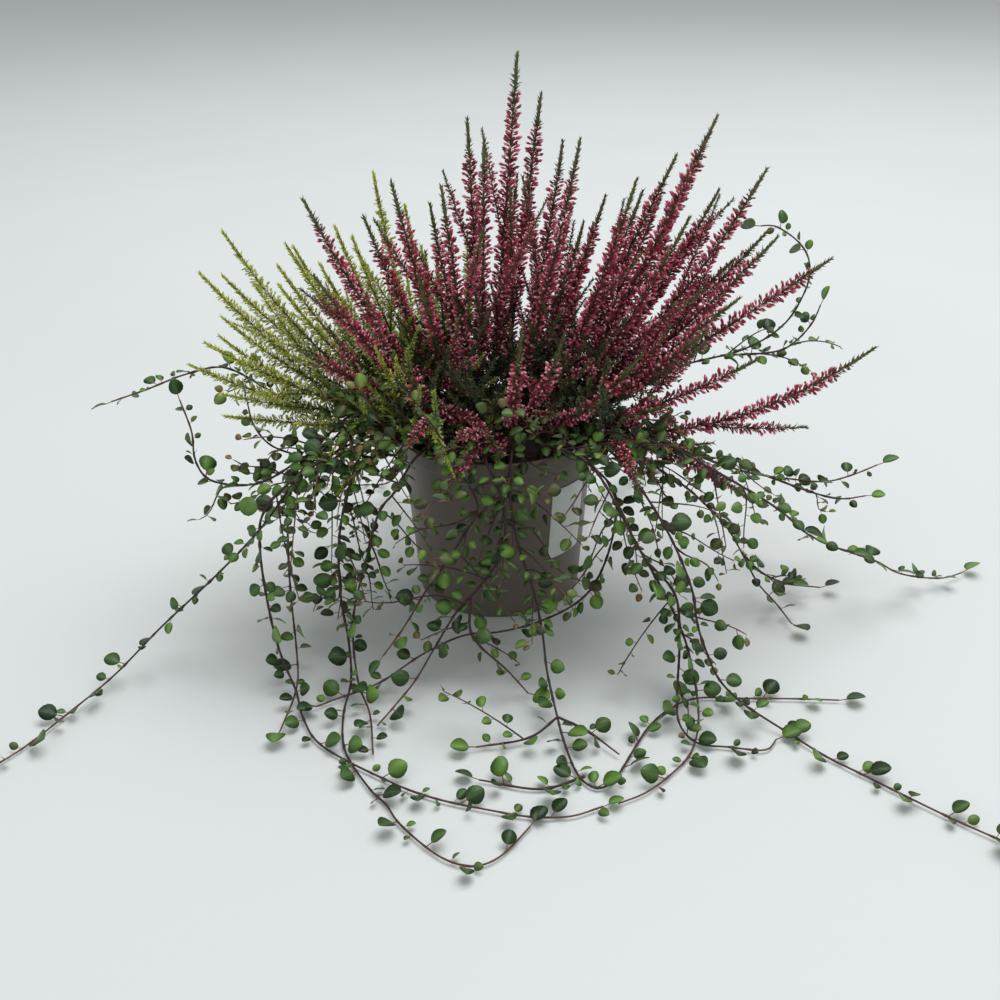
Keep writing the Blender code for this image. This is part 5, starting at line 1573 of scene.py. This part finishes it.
def vine_growth(stems, draw, cad_draw, settings, middles):
    """The strands and leaves of one vine: first the leaves that its node has, then finer growth."""
    leaves = []
    strands = []
    for number, (line, rings, joints) in enumerate(stems):
        fine = smooth_route(line, FINE_STEP)
        run = run_of(fine)
        ring_run = run_of(rings)
        frames = up_frames(rings)
        bases = [rings[joint] for joint in joints]
        part_leaves(leaves, middles, draw, cad_draw, rings, joints)
        place = draw.uniform(*FIRST_LEAF) * settings.leaf_span
        side = 1
        while place < run[-1] - BARE_END:
            ahead, across, _ = frames[int(np.argmin(np.abs(ring_run - place)))]
            base = at_run(fine, [place])[0]
            end_share = place / run[-1]
            size = draw.uniform(*EXTRA_LEAF_SIZES) * (1.0 - END_SHRINK * end_share)
            if base[2] > LEAFLESS_BELOW or draw.random() < settings.ground_leaves:
                lay_leaf(leaves, middles, draw, base, ahead, across * side, size,
                         max(0.0, end_share - YOUNG_FROM) * YOUNG_RISE * draw.random())
                bases.append(base)
            if draw.random() < PAIRED_LEAVES and base[2] > LEAFLESS_BELOW:
                lay_leaf(leaves, middles, draw, base, ahead, -across * side, size * PAIRED_SIZE, 0.0)
            side = -side
            place += settings.leaf_span * draw.uniform(*LEAF_STEPS)
        strands.append(stem_strand(fine, bases, VINE_THIN * VINE_RADIUS, VINE_THIN * VINE_TIP_RADIUS))
        reach = min(run[-1] * settings.sprig_share, SPRIG_ZONE)
        place = SPRIG_FIRST if number == 0 else draw.uniform(*SPRIG_FIRST_ASIDE)
        while place < reach:
            base = at_run(fine, [place])[0]
            ahead, across, over = frames[int(np.argmin(np.abs(ring_run - place)))]
            turn = draw.uniform(0, math.tau)
            out = across * math.cos(turn) + over * math.sin(turn) * SPRIG_FLATNESS
            aim = ahead * draw.uniform(*SPRIG_AHEAD) + out
            aim[2] += draw.uniform(*SPRIG_LIFT)
            made = sprig(leaves, middles, draw, base, aim / np.linalg.norm(aim), draw.uniform(*SPRIG_LENGTHS),
                         draw.uniform(*SPRIG_DROOP), draw.uniform(*SPRIG_LEAF_SIZES))
            if made is not None:
                strands.append(made)
            place += settings.sprig_span * draw.uniform(*SPRIG_STEPS) * (0.5 + place / reach)
    top = stems[0][0][0]
    foot = top - np.array((0.0, 0.0, HOLE_DEPTH / 2))
    strands.append(stem_strand(np.array([foot, (foot + top) / 2, top]), [], VINE_RADIUS, VINE_RADIUS))
    return strands, leaves


def build_pot(settings):
    """The pot: one moulded skin with a rolled rim, a groove under it, and holes in its floor."""
    wall = settings.wall
    neck = POT_HEIGHT - POT_RIM_DEPTH
    inner_rim = POT_RIM_RADIUS - wall
    profile = [(0.0, POT_RECESS), (POT_FOOT_RADIUS - POT_FOOT_STEP, POT_RECESS),
               (POT_FOOT_RADIUS - POT_FOOT_RING, 0.0)]
    profile += arc((POT_FOOT_RADIUS - POT_EDGE, POT_EDGE), POT_EDGE, -90, -5, 5)
    profile += [(wall_radius(z), z) for z in np.linspace(0.006, neck - 0.0042, 12)]
    profile += [(wall_radius(neck) - 0.0004, neck - 0.003), (wall_radius(neck) - 0.0003, neck - 0.001)]
    profile += arc((POT_RIM_RADIUS - POT_RIM_FOLD, neck + POT_RIM_FOLD), POT_RIM_FOLD, -90, 0, 5)
    profile += [(POT_RIM_RADIUS - POT_RIM_DIP, z) for z in (neck + 0.004, POT_HEIGHT - 0.0035)]
    profile += arc((POT_RIM_RADIUS - POT_EDGE, POT_HEIGHT - POT_EDGE), POT_EDGE, 0, 180, 8)[:-1]
    profile += [(inner_rim - 0.0006, POT_HEIGHT - 0.002), (inner_rim - 0.0006, neck + 0.0018),
                (wall_radius(neck) - wall, neck)]
    profile += [(wall_radius(z) - wall, z) for z in np.linspace(neck - 0.004, POT_FLOOR + 0.002, 10)]
    profile += arc((wall_radius(0) - wall - POT_FILLET, POT_FLOOR + POT_FILLET), POT_FILLET, 0, -90, 5)
    profile.append((0.0, POT_FLOOR))
    bm = turned_skin(profile, settings.sides)
    pot = bmesh_object("pot_visual", bm, POT_SHARP)
    cutter = bmesh.new()
    for k in range(DRAIN_HOLES):
        turn = math.tau * (k + 0.5) / DRAIN_HOLES
        x, y = DRAIN_CIRCLE * math.cos(turn), DRAIN_CIRCLE * math.sin(turn)
        place = Matrix.Translation((x, y, POT_FLOOR / 2))
        bmesh.ops.create_cone(cutter, cap_ends=True, segments=32, radius1=DRAIN_RADIUS, radius2=DRAIN_RADIUS,
                              depth=3 * POT_FLOOR, matrix=place)
    cutter = bmesh_object("drain_cutter", cutter)
    modifier = pot.modifiers.new("Drain", "BOOLEAN")
    modifier.object = cutter
    modifier.solver = "EXACT"
    apply_modifiers(pot)
    drop_template(cutter)
    pot.data.materials.clear()
    pot.data.materials.append(pot_finish(tuple(settings.colour)))
    finish_piece(pot, "pot", "pot")


def soil_radius(z):
    """How far the soil reaches at a height."""
    return wall_radius(z) - POT_WALL - CLEAR


def build_soil(settings):
    """The soil: a closed body with an uneven top, strewn with crumbs of peat."""
    low = POT_FLOOR + CLEAR
    sides = np.linspace(SOIL_SIDE_FROM, SOIL_TOP - SOIL_EDGE_DROP, SOIL_SIDE_RINGS)
    shares = np.linspace(1, 0, SOIL_RINGS, endpoint=False)
    rings = [(wall_radius(low) - POT_WALL - SOIL_FOOT_INSET, low)]
    rings += [(soil_radius(z), z) for z in [low + SOIL_FOOT_RISE] + list(sides)]
    rings += [(soil_radius(SOIL_TOP) * share, None) for share in shares]
    bm = bmesh.new()
    rows = []
    for radius, z in rings:
        row = []
        for k in range(SOIL_SIDES):
            turn = math.tau * k / SOIL_SIDES
            x, y = radius * math.cos(turn), radius * math.sin(turn)
            row.append(bm.verts.new((x, y, soil_height(x, y, settings.relief) if z is None else z)))
        rows.append(row)
    base = bm.verts.new((0, 0, low))
    peak = bm.verts.new((0, 0, soil_height(0, 0, settings.relief)))
    bridge_rows(bm, rows, closed=True)
    for k in range(SOIL_SIDES):
        after = (k + 1) % SOIL_SIDES
        bm.faces.new((base, rows[0][after], rows[0][k]))
        bm.faces.new((rows[-1][k], rows[-1][after], peak))
    soil = bmesh_object("soil_visual", bm)
    upper = [float(z is None) for _, z in rings for _ in range(SOIL_SIDES)]
    set_values(soil.data, upper=upper + [0.0, 1.0])
    crumb = crumb_shape()
    grow(soil, crumb_tree(), crumb=crumb, crumbs_per_area=settings.crumbs, crumb_size=settings.crumb_size,
         seed=CRUMB_SEED, soil_finish=soil_finish())
    drop_template(crumb)
    finish_piece(soil, "soil", "soil")


def soil_height(x, y, relief):
    """The uneven top of the soil."""
    wave = noise.fractal(Vector((x * SOIL_WAVES, y * SOIL_WAVES, 0.0)), 1.0, 2.0, 4)
    return SOIL_TOP - SOIL_SINK + relief * wave


def build_label(settings):
    """The blank label: a thin plate with round corners, bent round the pot's wall."""
    rows = []
    for face in (0, 1):
        side = []
        for j in range(LABEL_ROWS + 1):
            v = LABEL_HEIGHT * j / LABEL_ROWS
            corner = LABEL_CORNER - min(v, LABEL_HEIGHT - v, LABEL_CORNER)
            half = LABEL_WIDTH / 2 - LABEL_CORNER + math.sqrt(LABEL_CORNER ** 2 - corner ** 2)
            z = LABEL_LOW + v
            radius = wall_radius(z) + LABEL_RAISED + face * settings.thickness
            row = []
            for k in range(LABEL_COLUMNS + 1):
                turn = LABEL_TURN + half * (2 * k / LABEL_COLUMNS - 1) / radius
                row.append((radius * math.cos(turn), radius * math.sin(turn), z))
            side.append(row)
        rows.append(side)
    bm = bmesh.new()
    verts = [[[bm.verts.new(point) for point in row] for row in side] for side in rows]
    for side in verts:
        bridge_rows(bm, side)
    inner, outer = verts
    for k in range(LABEL_COLUMNS):
        for j in (0, LABEL_ROWS):
            bm.faces.new((inner[j][k], inner[j][k + 1], outer[j][k + 1], outer[j][k]))
    for j in range(LABEL_ROWS):
        for k in (0, LABEL_COLUMNS):
            bm.faces.new((inner[j][k], inner[j + 1][k], outer[j + 1][k], outer[j][k]))
    label = bmesh_object("label_visual", bm, LABEL_SHARP)
    label.data.materials.append(label_finish())
    finish_piece(label, "label", "blank_label")


def build_heather(kind, settings, seed):
    """Every spray of one colour."""
    shoots, feet, _ = plan_plants()
    bud = bud_shape(BUD_RINGS[kind])
    needle = needle_shape()
    # The fourth colour of each bud finish is the pale tip: partly the buds' own colour, partly a painted
    # highlight.
    if kind == "pink":
        finishes = (
            bud_finish("pink_bud", paint(122, 22, 48), tuple(settings.colour), paint(238, 108, 144),
                       paint(250, 206, 206), paint(112, 36, 44), paint(128, 70, 64)),
            needle_finish("pink_heather_leaf", paint(26, 44, 26), paint(58, 84, 44), paint(62, 52, 34),
                          paint(104, 112, 66)))
    else:
        finishes = (
            bud_finish("white_bud", paint(158, 170, 64), tuple(settings.colour), paint(241, 239, 180),
                       paint(248, 247, 226), paint(150, 168, 54), paint(176, 190, 66)),
            needle_finish("white_heather_leaf", paint(58, 88, 52), paint(120, 150, 76), paint(160, 174, 48),
                          paint(204, 212, 82)))
    bark = bark_finish(kind + "_heather_stem", paint(58, 38, 30), paint(104, 78, 58), paint(98, 100, 52))
    draw = random.Random(seed)
    sprays = [(spray, fork) for spray, fork in feet if spray.startswith(kind)]
    for number, (spray, fork) in enumerate(sprays):
        strands = spray_strands(spray, fork, shoots, draw, settings)
        obj = strands_object(spray + "_visual", strands)
        grow(obj, heather_tree(), bud=bud, needle=needle, bud_spacing=settings.bud_spacing,
             needle_spacing=settings.needle_spacing, bud_lean=settings.bud_lean, seed=seed + number,
             bud_finish=finishes[0], needle_finish=finishes[1], stem_finish=bark)
        finish_piece(obj, kind + "_heather", spray)
    drop_template(bud)
    drop_template(needle)


def build_vines(settings):
    """Every vine with its stems, joints and leaves."""
    _, _, vines = plan_plants()
    leaf = leaf_shape()
    finish = leaf_finish("vine_leaf", paint(36, 60, 32), tuple(settings.colour), paint(112, 154, 62),
                         paint(150, 104, 70), paint(126, 72, 58), paint(128, 150, 104))
    bark = bark_finish("vine_stem", paint(40, 26, 26), paint(70, 48, 42), paint(96, 62, 48))
    cad_draw = random.Random(LEAF_SEED)
    draw = random.Random(settings.seed)
    middles = []
    for node, stems in vines.items():
        strands, leaves = vine_growth(stems, draw, cad_draw, settings, middles)
        obj = strands_object(node + "_visual", strands, leaves)
        grow(obj, vine_tree(), leaf=leaf, leaf_finish=finish, stem_finish=bark)
        finish_piece(obj, "vine", node)
    drop_template(leaf)


def build_stage(settings):
    """A pale floor, soft light from above and the camera at the height that the photograph was taken from."""
    floor = bpy.data.meshes.new("floor")
    bm = bmesh.new()
    bmesh.ops.create_circle(bm, cap_ends=True, segments=96, radius=FLOOR_RADIUS)
    bm.to_mesh(floor)
    bm.free()
    floor = bpy.data.objects.new("floor", floor)
    floor.data.materials.append(floor_finish(tuple(settings.floor_colour)))
    scene = bpy.context.scene
    scene.collection.objects.link(floor)
    world = bpy.data.worlds.new("studio")
    world.use_nodes = True
    background = world.node_tree.nodes["Background"]
    background.inputs["Color"].default_value = tuple(settings.sky_colour)
    background.inputs["Strength"].default_value = settings.sky_strength
    scene.world = world
    for name, place, size, power in (("overhead", OVERHEAD_PLACE, OVERHEAD_SIZE, settings.light_power),
                                     ("fill", FILL_PLACE, FILL_SIZE, settings.fill_power)):
        light = bpy.data.lights.new(name, "AREA")
        light.shape = "DISK"
        light.size = size
        light.energy = power
        lamp = bpy.data.objects.new(name, light)
        lamp.location = place
        lamp.rotation_euler = (Vector(place) - Vector((0, 0, 0.15))).to_track_quat("Z", "Y").to_euler()
        scene.collection.objects.link(lamp)
    lens = bpy.data.cameras.new("camera")
    lens.lens = settings.focal_length
    lens.sensor_width = SENSOR
    lens.dof.use_dof = False
    lens.clip_start = 0.01
    camera = bpy.data.objects.new("camera", lens)
    turn = Matrix.Rotation(CAMERA_PITCH, 4, "X") @ Matrix.Rotation(CAMERA_ROLL, 4, "Z")
    camera.matrix_world = Matrix.Translation(CAMERA_PLACE) @ turn
    scene.collection.objects.link(camera)
    scene.camera = camera
    scene.view_settings.view_transform = "Standard"


def length_setting(name, text, value):
    """A length that a user may change."""
    return bpy.props.FloatProperty(name=name, description=text, default=value, unit="LENGTH", precision=5,
                                   min=0.0)


def colour_setting(name, text, value):
    """A colour that a user may change."""
    return bpy.props.FloatVectorProperty(name=name, description=text, default=value, subtype="COLOR", size=4,
                                         min=0.0, max=1.0)


def number_setting(name, text, value, low=0.0):
    """A plain number that a user may change."""
    return bpy.props.FloatProperty(name=name, description=text, default=value, min=low)


def count_setting(name, text, value):
    """A whole number that a user may change."""
    return bpy.props.IntProperty(name=name, description=text, default=value, min=0)


class PotSettings(bpy.types.PropertyGroup):
    """Sizes and colour of the pot."""

    wall: length_setting("Wall", "Thickness of the pot's wall", POT_WALL)
    sides: count_setting("Sides", "Faces round the pot", 128)
    colour: colour_setting("Colour", "Colour of the plastic", paint(112, 101, 93))


class SoilSettings(bpy.types.PropertyGroup):
    """Relief and crumbs of the soil."""

    relief: length_setting("Relief", "Height of the soil's unevenness", 0.0012)
    crumbs: number_setting("Crumbs", "Crumbs on a square metre", 120000.0)
    crumb_size: length_setting("Crumb size", "Size of a crumb of peat", 0.0018)


class LabelSettings(bpy.types.PropertyGroup):
    """Thickness of the label."""

    thickness: length_setting("Thickness", "Thickness of the label's film", LABEL_THICKNESS)


class HeatherGrowth:
    """What both heathers let a user change."""

    bud_spacing: length_setting("Bud spacing", "Length of stem for each bud", 0.00033)
    bud_lean: number_setting("Bud lean", "Angle between a bud and its stem, in radians", 1.0)
    needle_spacing: length_setting("Leaf spacing", "Length of stem for each small leaf", 0.00034)
    side_spikes: count_setting("Side spikes", "Side spikes on each shoot", 1)
    nodding_spikes: count_setting("Nodding spikes", "Short spikes over the rim on each spray at the front", 2)
    leafy_twigs: count_setting("Leafy twigs", "Leafy twigs at the foot of each spray", 14)
    twig_bloom: number_setting("Twig bloom", "Share of buds on the leafy twigs", 0.0)


class PinkSettings(HeatherGrowth, bpy.types.PropertyGroup):
    """Growth of the pink heather."""

    colour: colour_setting("Colour", "Main colour of the buds", paint(214, 50, 96))


class WhiteSettings(HeatherGrowth, bpy.types.PropertyGroup):
    """Growth of the white heather."""

    colour: colour_setting("Colour", "Main colour of the buds", paint(215, 217, 98))


class VineSettings(bpy.types.PropertyGroup):
    """Growth of the wire vine."""

    colour: colour_setting("Colour", "Main colour of the leaves", paint(72, 108, 46))
    leaf_span: length_setting("Leaf span", "Length of stem between leaves", 0.0095)
    sprig_span: length_setting("Sprig span", "Length of stem between side sprigs", 0.0135)
    sprig_share: number_setting("Sprig share", "Share of a stem that bears side sprigs", 0.6)
    ground_leaves: number_setting("Ground leaves", "Share of extra leaves kept near the ground", 0.6)
    seed: count_setting("Seed", "Seed of the vine's random draws", 7)


class StageSettings(bpy.types.PropertyGroup):
    """Floor, light and camera."""

    floor_colour: colour_setting("Floor", "Colour of the floor", paint(228, 233, 232))
    sky_colour: colour_setting("Sky", "Colour of the light from all sides", paint(230, 233, 234))
    sky_strength: number_setting("Sky strength", "Strength of the light from all sides", 0.52)
    light_power: number_setting("Overhead light", "Power of the large light overhead, in watts", 84.0)
    fill_power: number_setting("Fill light", "Power of the light from the front, in watts", 6.0)
    focal_length: number_setting("Focal length", "The camera's focal length in millimetres", 42.66, 1.0)


class HEATHER_OT_pot(bpy.types.Operator):
    """Build the plastic pot"""

    bl_idname = "heather.make_pot"
    bl_label = "Pot"

    def execute(self, context):
        build_pot(context.scene.heather_pot)
        return {"FINISHED"}


class HEATHER_OT_soil(bpy.types.Operator):
    """Build the potting soil"""

    bl_idname = "heather.make_soil"
    bl_label = "Soil"

    def execute(self, context):
        build_soil(context.scene.heather_soil)
        return {"FINISHED"}


class HEATHER_OT_label(bpy.types.Operator):
    """Build the blank label"""

    bl_idname = "heather.make_label"
    bl_label = "Blank label"

    def execute(self, context):
        build_label(context.scene.heather_label)
        return {"FINISHED"}


class HEATHER_OT_pink(bpy.types.Operator):
    """Build the sprays of pink heather"""

    bl_idname = "heather.make_pink_sprays"
    bl_label = "Pink heather"

    def execute(self, context):
        build_heather("pink", context.scene.heather_pink, PINK_SEED)
        return {"FINISHED"}


class HEATHER_OT_white(bpy.types.Operator):
    """Build the sprays of white heather"""

    bl_idname = "heather.make_white_sprays"
    bl_label = "White heather"

    def execute(self, context):
        build_heather("white", context.scene.heather_white, WHITE_SEED)
        return {"FINISHED"}


class HEATHER_OT_vines(bpy.types.Operator):
    """Build the trailing wire vine"""

    bl_idname = "heather.make_vines"
    bl_label = "Wire vine"

    def execute(self, context):
        build_vines(context.scene.heather_vine)
        return {"FINISHED"}


class HEATHER_OT_stage(bpy.types.Operator):
    """Set up the floor, the light and the camera"""

    bl_idname = "heather.make_stage"
    bl_label = "Stage"

    def execute(self, context):
        build_stage(context.scene.heather_stage)
        return {"FINISHED"}


SETTINGS = (
    ("heather_pot", PotSettings), ("heather_soil", SoilSettings), ("heather_label", LabelSettings),
    ("heather_pink", PinkSettings), ("heather_white", WhiteSettings), ("heather_vine", VineSettings),
    ("heather_stage", StageSettings),
)
OPERATORS = (HEATHER_OT_pot, HEATHER_OT_soil, HEATHER_OT_label, HEATHER_OT_pink, HEATHER_OT_white,
             HEATHER_OT_vines, HEATHER_OT_stage)


class HEATHER_PT_panel(bpy.types.Panel):
    """Settings and buttons for each group of pieces"""

    bl_label = "Potted Heather"
    bl_space_type = "VIEW_3D"
    bl_region_type = "UI"
    bl_category = "Heather"

    def draw(self, context):
        for (name, _), operator in zip(SETTINGS, OPERATORS):
            settings = getattr(context.scene, name)
            box = self.layout.box()
            for key in settings.bl_rna.properties.keys():
                if key not in ("rna_type", "name"):
                    box.prop(settings, key)
            box.operator(operator.bl_idname)


def register():
    for name, kind in SETTINGS:
        bpy.utils.register_class(kind)
        setattr(bpy.types.Scene, name, bpy.props.PointerProperty(type=kind))
    for kind in OPERATORS + (HEATHER_PT_panel,):
        bpy.utils.register_class(kind)


def unregister():
    for kind in (HEATHER_PT_panel,) + OPERATORS[::-1]:
        bpy.utils.unregister_class(kind)
    for name, kind in SETTINGS[::-1]:
        delattr(bpy.types.Scene, name)
        bpy.utils.unregister_class(kind)


def main():
    register()
    for operator in OPERATORS:
        group, action = operator.bl_idname.split(".")
        getattr(getattr(bpy.ops, group), action)()


if __name__ == "__main__":
    main()
